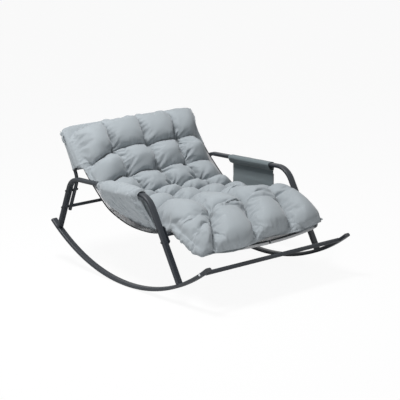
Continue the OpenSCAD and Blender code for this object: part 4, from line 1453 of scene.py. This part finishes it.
@dataclass
class ArmLap(SoftPart):
    """Padded lap of the cushion over the left armrest, down to the sling's edge."""

    rear: float = 0.246
    front: float = -0.158
    wadding: float = 0.024
    hem: float = 0.006
    hem_reach: float = 0.112
    lean: float = 0.085
    end: float = 0.018
    around: int = 110
    middle_rows: int = 84
    end_rows: int = 6
    fold: float = 0.0050
    deep_fold: float = 0.0150
    crumple: float = 0.0060

    def ring(self, y: float) -> Array:
        """Corner points of the lap's section.

        Args:
            y: Place along the armrest.

        Returns:
            The points as (x, z) from the armrest's centre.
        """
        part = (self.rear - y) / (self.rear - self.front)
        drop = float(self.lines.arm_z(np.array(y)) - self.lines.sling_z(np.array(y)))
        drop -= self.hem
        f = self.wadding * (0.15 + 0.85 * min(1.0, part / 0.22) ** 0.8)
        w, t, reach = self.lines.oval[0] / 2, self.lines.oval[1] / 2, self.hem_reach
        down = np.array([0.10, 0.22, 0.36, 0.50, 0.64, 0.78, 0.90])
        outer = -w - f + (reach + w + f) * down ** 1.45
        inner = w + 0.8 * f + (reach + 0.022 - w - 0.8 * f) * down ** 0.8
        return np.array([
            (0, t + f), (-0.6 * w, t + 0.95 * f), (-w - 0.55 * f, t + 0.5 * f), (-w - f, -0.004),
            *zip(outer, -down * drop), (reach, -drop), (reach + 0.018, -drop),
            *zip(inner[::-1], -down[::-1] * drop), (w + 0.8 * f, 0.004),
            (w + 0.4 * f, t + 0.45 * f), (0.6 * w, t + 0.9 * f)])

    def tube_reach(self, direction: Array) -> Array:
        """Distance from the armrest's centre to its surface along directions (x, z)."""
        return 1 / np.linalg.norm(2 * units(direction) / np.array(self.lines.oval), axis=1)

    def section(self, y: float, full: float, gap: float) -> Array:
        """Closed section at y, drawn in towards its core.

        Args:
            y: Place along the armrest.
            full: 1 for the whole section, less towards the ends.
            gap: Clearance that it keeps from the tube.

        Returns:
            The points as (x, z) from the armrest's centre.
        """
        line = self.ring(y)
        closed = resample(np.vstack([line, line[:1]]), self.around + 1)[:-1]
        low = closed[:, 1].min()
        core = stacked(np.interp(closed[:, 1], (low, min(low + 0.05, -0.03), 0.0),
                                 (self.hem_reach, 0.02, 0.0)),
                       np.clip(closed[:, 1], low + 0.014, 0.0))
        spread = closed - core
        size = np.maximum(np.linalg.norm(spread, axis=1), TINY)
        upper = rise(closed[:, 1], -0.045, 0.02)
        least = upper * (self.tube_reach(spread) + gap) / size
        return core + spread * np.maximum(full, least)[:, None]

    def wrinkles(self, along: Array, run: Array) -> Array:
        """Creases that slant down the lap's side, broken up so that each is short.

        Args:
            along: Places along the armrest.
            run: Places round the section.

        Returns:
            The height that they add.
        """
        bend = smooth_noise(along * 14, run * 14, 61)
        lines = np.abs(np.sin((along + 0.55 * run) * 75 + 3.0 * bend))
        broken = np.clip(0.35 + smooth_noise(along * 26, run * 18, 67), 0, 1)
        crumple = np.abs(smooth_noise(along * 50, run * 60, 69))
        return (-self.deep_fold * broken * (1 - lines) ** 2
                - self.crumple * (1 - 2 * crumple))

    def build(self) -> None:
        """Make the lap: sections along the armrest, with a dark recess round the tube."""
        rear, front = self.rear - self.end, self.front + self.end
        quarter = np.linspace(0.25, np.pi / 2, self.end_rows + 1)[:-1]
        y = np.r_[self.rear - self.end * (1 - np.cos(quarter)),
                  np.linspace(rear, front, self.middle_rows),
                  self.front + self.end * (1 - np.cos(quarter[::-1])),
                  self.front + 0.004, self.front + 0.014, self.front + 0.028]
        share = np.r_[np.sin(quarter), np.ones(self.middle_rows), np.sin(quarter[::-1]),
                      0.2, 0.15, 0.1]
        gap = np.r_[np.full(self.end_rows + self.middle_rows, 0.004),
                    np.full(self.end_rows, 0.009), 0.008, 0.006, 0.001]
        section = np.array([self.section(*row) for row in zip(y, share, gap)])
        outward = np.roll(section, -1, axis=1) - np.roll(section, 1, axis=1)
        normal = units(stacked(outward[..., 1], -outward[..., 0]))
        along = y[:, None]
        turn = np.linspace(0, 2 * np.pi, self.around, endpoint=False)[None, :]
        run = 0.10 * turn
        slanted = along + 0.7 * run
        folds = (1 - 2.4 * np.abs(smooth_noise(slanted * 34, run * 16, 53))
                 + 0.5 - 1.2 * np.abs(smooth_noise(slanted * 80, run * 34 + along * 20, 59)))
        loose = np.clip(-section[..., 1] / 0.04, 0.25, 1) * rise(share[:, None], 0.3, 1)
        section = section + (self.fold * folds * loose)[..., None] * normal
        low = rise(-section[..., 1], 0.02, 0.16)
        forward = self.lean * low * fall(along, self.rear - 0.15, 0.20) ** 2
        y_leant = along - forward
        z = np.maximum(section[..., 1] + self.lines.arm_z(along),
                       self.lines.sling_z(y_leant) + self.hem)
        points = stacked(section[..., 0] - self.lines.side_x, y_leant, z)
        rows = len(y)
        made = Maker.piece("cushion_lap_cloth", points,
                           closed_faces(rows, self.around, inwards=False),
                           self.finishes.cushion, "cushion_cloth", ("cushion_arm_lap",),
                           stacked(turn * 0.09, along))
        held = np.zeros((rows, self.around))
        held[:8] = held[-10:] = 1.0
        held[section[..., 0] > 0.085] = 1.0
        held[section[..., 1] < section[..., 1].min(axis=1, keepdims=True) + 0.010] = 1.0
        ClothSettler(limit=0.012, slack=0.16).settle(made, held.ravel())
        Maker.press(made, stacked(along, run, loose), self.wrinkles)
        LOG.info("arm lap made of %d sections", rows)


@dataclass
class Tie(SoftPart):
    """Small fabric loop at the hood's left side."""

    half: float = 0.5225
    down: float = 0.062
    width: float = 0.016
    reach: float = 0.013
    height: float = 0.048
    wall: float = 0.002
    sunk: float = 0.0016
    forward: float = 0.010

    def build(self) -> None:
        """Make the loop: a tape bent into a half oval, with its ends on the hood."""
        turn = np.linspace(-0.5 * np.pi, 0.5 * np.pi, 28)[:, None]
        wide = np.linspace(-0.5, 0.5, 7)[None, :] * self.width
        out = self.reach * np.cos(turn) - self.sunk
        up, side = -self.lines.back_dir, self.lines.back_front
        yz = (np.array(self.lines.back_top) - self.down * up
              + (0.5 * self.height * np.sin(turn))[..., None] * up
              + (wide + self.forward)[..., None] * side)
        made = Maker.piece("cushion_tie_tape", stacked(-self.half - out, yz[..., 0], yz[..., 1]),
                           grid_faces(28, 7), self.finishes.cushion, "cushion_cloth",
                           ("cushion_tie",), stacked(wide, turn * 0.02))
        Maker.cloth_shell(made, self.wall)
        LOG.info("tie made")


@dataclass
class Pocket(SoftPart):
    """Dark cloth pocket that hangs on the right armrest: a loop, a panel, a pouch, a hem."""

    rear: float = 0.300
    front: float = -0.078
    drop: float = 0.262
    loop_drop: float = 0.042
    mouth: float = 0.066
    pouch: float = 0.024
    least_pouch: float = 0.0025
    cloth: float = 0.0022
    pouch_cloth: float = 0.0014
    fold: float = 0.0022
    bottom_sag: float = 0.005
    seam_inset: float = 0.004

    @property
    def seam(self) -> float:
        """How far the panel hangs outside the armrest's centre."""
        return self.lines.oval[0] / 2 - self.seam_inset

    def part(self, y: Array) -> Array:
        """Share of the way from the rear end to y."""
        return (self.rear - y) / (self.rear - self.front)

    def on_arm(self, x: Array, y: Array, z: Array) -> Array:
        """Points whose x and z are measured from the right armrest's centre."""
        return stacked(x + self.lines.side_x, y, z + self.lines.arm_z(y))

    def profile(self) -> Array:
        """Section of the loop and the panel.

        Returns:
            The points as (x, z) from the armrest's centre.
        """
        w, t = (size / 2 + 0.0025 for size in self.lines.oval)
        loop = np.array([
            (self.seam + 0.003, -self.loop_drop), (0.98 * w, -0.5 * self.loop_drop), (w, -0.003),
            (w, 0.35 * t), (0.85 * w, 0.86 * t), (0.5 * w, t), (0, t + 0.001), (-0.5 * w, t),
            (-0.85 * w, 0.86 * t), (-w, 0.35 * t), (-w, -0.003),
            (-0.35 * w, -0.72 * self.loop_drop), (self.seam - 0.0035, -self.loop_drop)])
        low = np.linspace(-self.loop_drop - 0.004, -self.drop, 30)
        return np.vstack([resample(loop, 60), stacked(self.seam, low)])

    def panel(self) -> bpy.types.Object:
        """The loop round the armrest and the panel under it, in one sheet.

        Returns:
            The object.
        """
        line = self.profile()
        y = np.linspace(self.rear, self.front, 110)[:, None]
        y, x, z = np.broadcast_arrays(y, line[:, 0], line[:, 1])
        hanging = rise(-z, self.loop_drop, 0.03)
        x = x + self.fold * hanging * smooth_noise(y * 16, z * 60, 71)
        loose = np.clip(1 - np.abs(z) / 0.05, 0, 1)
        z = z + 0.0009 * loose * smooth_noise(y * 60, x * 60, 73)
        z = z - self.bottom_sag * hanging * np.sin(np.pi * self.part(y)) * (-z / self.drop)
        made = Maker.piece("pocket_cloth_panel", self.on_arm(x, y, z), grid_faces(*z.shape),
                           self.finishes.pocket, "pocket_cloth", ("pocket_panel",),
                           stacked(distances(line), y))
        Maker.cloth_shell(made, self.cloth)
        return made

    def room(self, y: Array) -> Array:
        """How far the pouch stands off the panel along its length."""
        return self.least_pouch + (self.pouch - self.least_pouch) * np.sqrt(
            np.abs(np.sin(np.pi * self.part(y))))

    def bag(self) -> bpy.types.Object:
        """The pouch: sewn down at its ends and bottom, open at its mouth.

        Returns:
            The object.
        """
        y = np.linspace(self.rear - 0.001, self.front + 0.001, 100)[:, None]
        down = np.linspace(0, 1, 60)[None, :]
        z = -self.mouth - (self.drop - self.mouth - 0.004) * down
        swell = np.interp(down, (0, 0.15, 0.5, 0.8, 0.93, 1), (0.72, 0.84, 0.97, 0.98, 0.8, 0.12))
        folds = smooth_noise(y * 14 + 0 * z, z * 55, 79) + 0.4 * smooth_noise(y * 50, z * 90, 83)
        room = self.room(y)
        x = self.seam + 0.002 + room * swell + 0.0024 * folds * np.clip(room / 0.012, 0, 1)
        z = z - self.bottom_sag * np.sin(np.pi * self.part(y)) * down
        made = Maker.piece("pocket_cloth_pouch", self.on_arm(x, y, z),
                           grid_faces(*z.shape)[:, ::-1], self.finishes.pocket, "pocket_cloth",
                           ("pocket_pouch",), stacked(z, y))
        Maker.cloth_shell(made, self.pouch_cloth)
        return made

    def hem(self) -> bpy.types.Object:
        """The folded hem along the pouch's mouth: a flat oval swept along it.

        Returns:
            The object.
        """
        y = np.linspace(self.rear - 0.001, self.front + 0.001, 100)[:, None]
        turn = np.linspace(0, 2 * np.pi, 15)[None, :]
        x = self.seam + 0.002 + 0.74 * self.room(y) + 0.0019 * np.cos(turn)
        z = -self.mouth - 0.006 + 0.009 * np.sin(turn)
        return Maker.piece("pocket_cloth_hem", self.on_arm(x, y, z), grid_faces(*x.shape),
                           self.finishes.binding, "pocket_cloth", ("pocket_hem",),
                           stacked(z, y))

    def build(self) -> None:
        """Make the pocket's pieces."""
        panel, bag, hem = self.panel(), self.bag(), self.hem()


@dataclass(frozen=True)
class Studio:
    """Floor, lights and the camera at the photograph's place."""

    camera_at: tuple[float, float, float] = (-5.8770, -6.9424, 2.7854)
    look: tuple[float, float, float] = (0.6270, 0.7370, -0.2503)
    lens: float = 138.1
    lit_height: float = 0.4
    sky: tuple[float, float, float] = (0.97, 0.985, 1.0)
    sky_strength: float = 0.25
    floor_half: float = 40.0
    floor_colour: tuple[float, float, float] = (0.90, 0.90, 0.90)
    floor_glow: float = 0.93

    @staticmethod
    def put(name: str, data: object, place: tuple[float, float, float] = (0, 0, 0),
            look: Vector | None = None) -> bpy.types.Object:
        """Add an object to the scene.

        Args:
            name: Its name.
            data: Its camera, light or mesh.
            place: Where it stands.
            look: Direction that its own -Z axis gets, where it needs one.

        Returns:
            The object.
        """
        made = bpy.data.objects.new(name, data)
        made.location = place
        if look is not None:
            made.rotation_euler = look.to_track_quat("-Z", "Y").to_euler()
        bpy.context.scene.collection.objects.link(made)
        return made

    def camera(self) -> None:
        """Put the camera where the photograph was taken from."""
        data = bpy.data.cameras.new("camera")
        data.lens, data.sensor_width = self.lens, 36.0
        bpy.context.scene.camera = self.put("camera", data, self.camera_at, Vector(self.look))

    def world(self) -> None:
        """White to the camera, reflections and transmissions, and a soft grey light."""
        world = bpy.data.worlds.new("studio")
        world.use_nodes = True
        bpy.context.scene.world = world
        nodes, links = world.node_tree.nodes, world.node_tree.links
        nodes.clear()
        out = nodes.new("ShaderNodeOutputWorld")
        mix = nodes.new("ShaderNodeMixShader")
        soft, white = nodes.new("ShaderNodeBackground"), nodes.new("ShaderNodeBackground")
        soft.inputs[0].default_value = (*self.sky, 1.0)
        soft.inputs[1].default_value = self.sky_strength
        white.inputs[0].default_value = (1.0, 1.0, 1.0, 1.0)
        path = nodes.new("ShaderNodeLightPath")
        seen = [path.outputs[f"Is {kind} Ray"] for kind in ("Camera", "Glossy", "Transmission")]
        for other in seen[1:]:
            most = nodes.new("ShaderNodeMath")
            most.operation = "MAXIMUM"
            links.new(seen[0], most.inputs[0])
            links.new(other, most.inputs[1])
            seen[0] = most.outputs[0]
        links.new(seen[0], mix.inputs[0])
        links.new(soft.outputs[0], mix.inputs[1])
        links.new(white.outputs[0], mix.inputs[2])
        links.new(mix.outputs[0], out.inputs[0])

    def lamp(self, name: str, place: tuple[float, float, float], size: float,
             power: float) -> None:
        """Add a square soft light that points at the chair.

        Args:
            name: The light's name.
            place: Where it stands.
            size: Its side in metres.
            power: Its power in watts.
        """
        data = bpy.data.lights.new(name, "AREA")
        data.shape, data.size, data.energy = "SQUARE", size, power
        self.put(name, data, place, Vector((0, 0, self.lit_height)) - Vector(place))

    def floor(self) -> None:
        """A pale floor that keeps the chair's soft shadow."""
        tree = Tree("studio_floor")
        tree.set(Base_Color=(*self.floor_colour, 1.0), Roughness=0.9, Specular_IOR_Level=0.1)
        glow = tree.nodes.new("ShaderNodeEmission")
        glow.inputs[1].default_value = 1.0
        mix = tree.nodes.new("ShaderNodeMixShader")
        path = tree.nodes.new("ShaderNodeLightPath")
        weight = Sock(tree, path.outputs["Is Camera Ray"]) * self.floor_glow
        tree.links.new(weight.out, mix.inputs[0])
        tree.links.new(tree.shader.outputs[0], mix.inputs[1])
        tree.links.new(glow.outputs[0], mix.inputs[2])
        tree.links.new(mix.outputs[0], tree.output.inputs["Surface"])
        far = self.floor_half
        corners = [(-far, -far, 0), (far, -far, 0), (far, far, 0), (-far, far, 0)]
        mesh = bpy.data.meshes.new("studio_floor")
        mesh.from_pydata(corners, [], [(0, 1, 2, 3)])
        mesh.materials.append(tree.material)
        made = self.put("studio_floor", mesh)

    def build(self) -> None:
        """Make the studio."""
        self.camera()
        self.world()
        self.lamp("key", (-1.5, 0.1, 4.2), 1.1, 175.0)
        self.lamp("fill", (-3.4, -3.6, 1.8), 2.6, 34.0)
        self.floor()
        bpy.context.scene.view_settings.view_transform = "Standard"
        LOG.info("studio ready")


def main() -> None:
    """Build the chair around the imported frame."""
    logging.basicConfig(level=logging.INFO, format="%(name)s: %(message)s")
    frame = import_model()
    Studio().build()
    finishes = Finishes()
    lines = Lines()
    SteelFrame(finishes).dress(frame["nodes"])
    Sling(lines, finishes).build()
    Cushion(lines, finishes).build()
    Hood(lines, finishes).build()
    ArmLap(lines, finishes).build()
    Tie(lines, finishes).build()
    Pocket(lines, finishes).build()


if __name__ == "__main__":
    main()
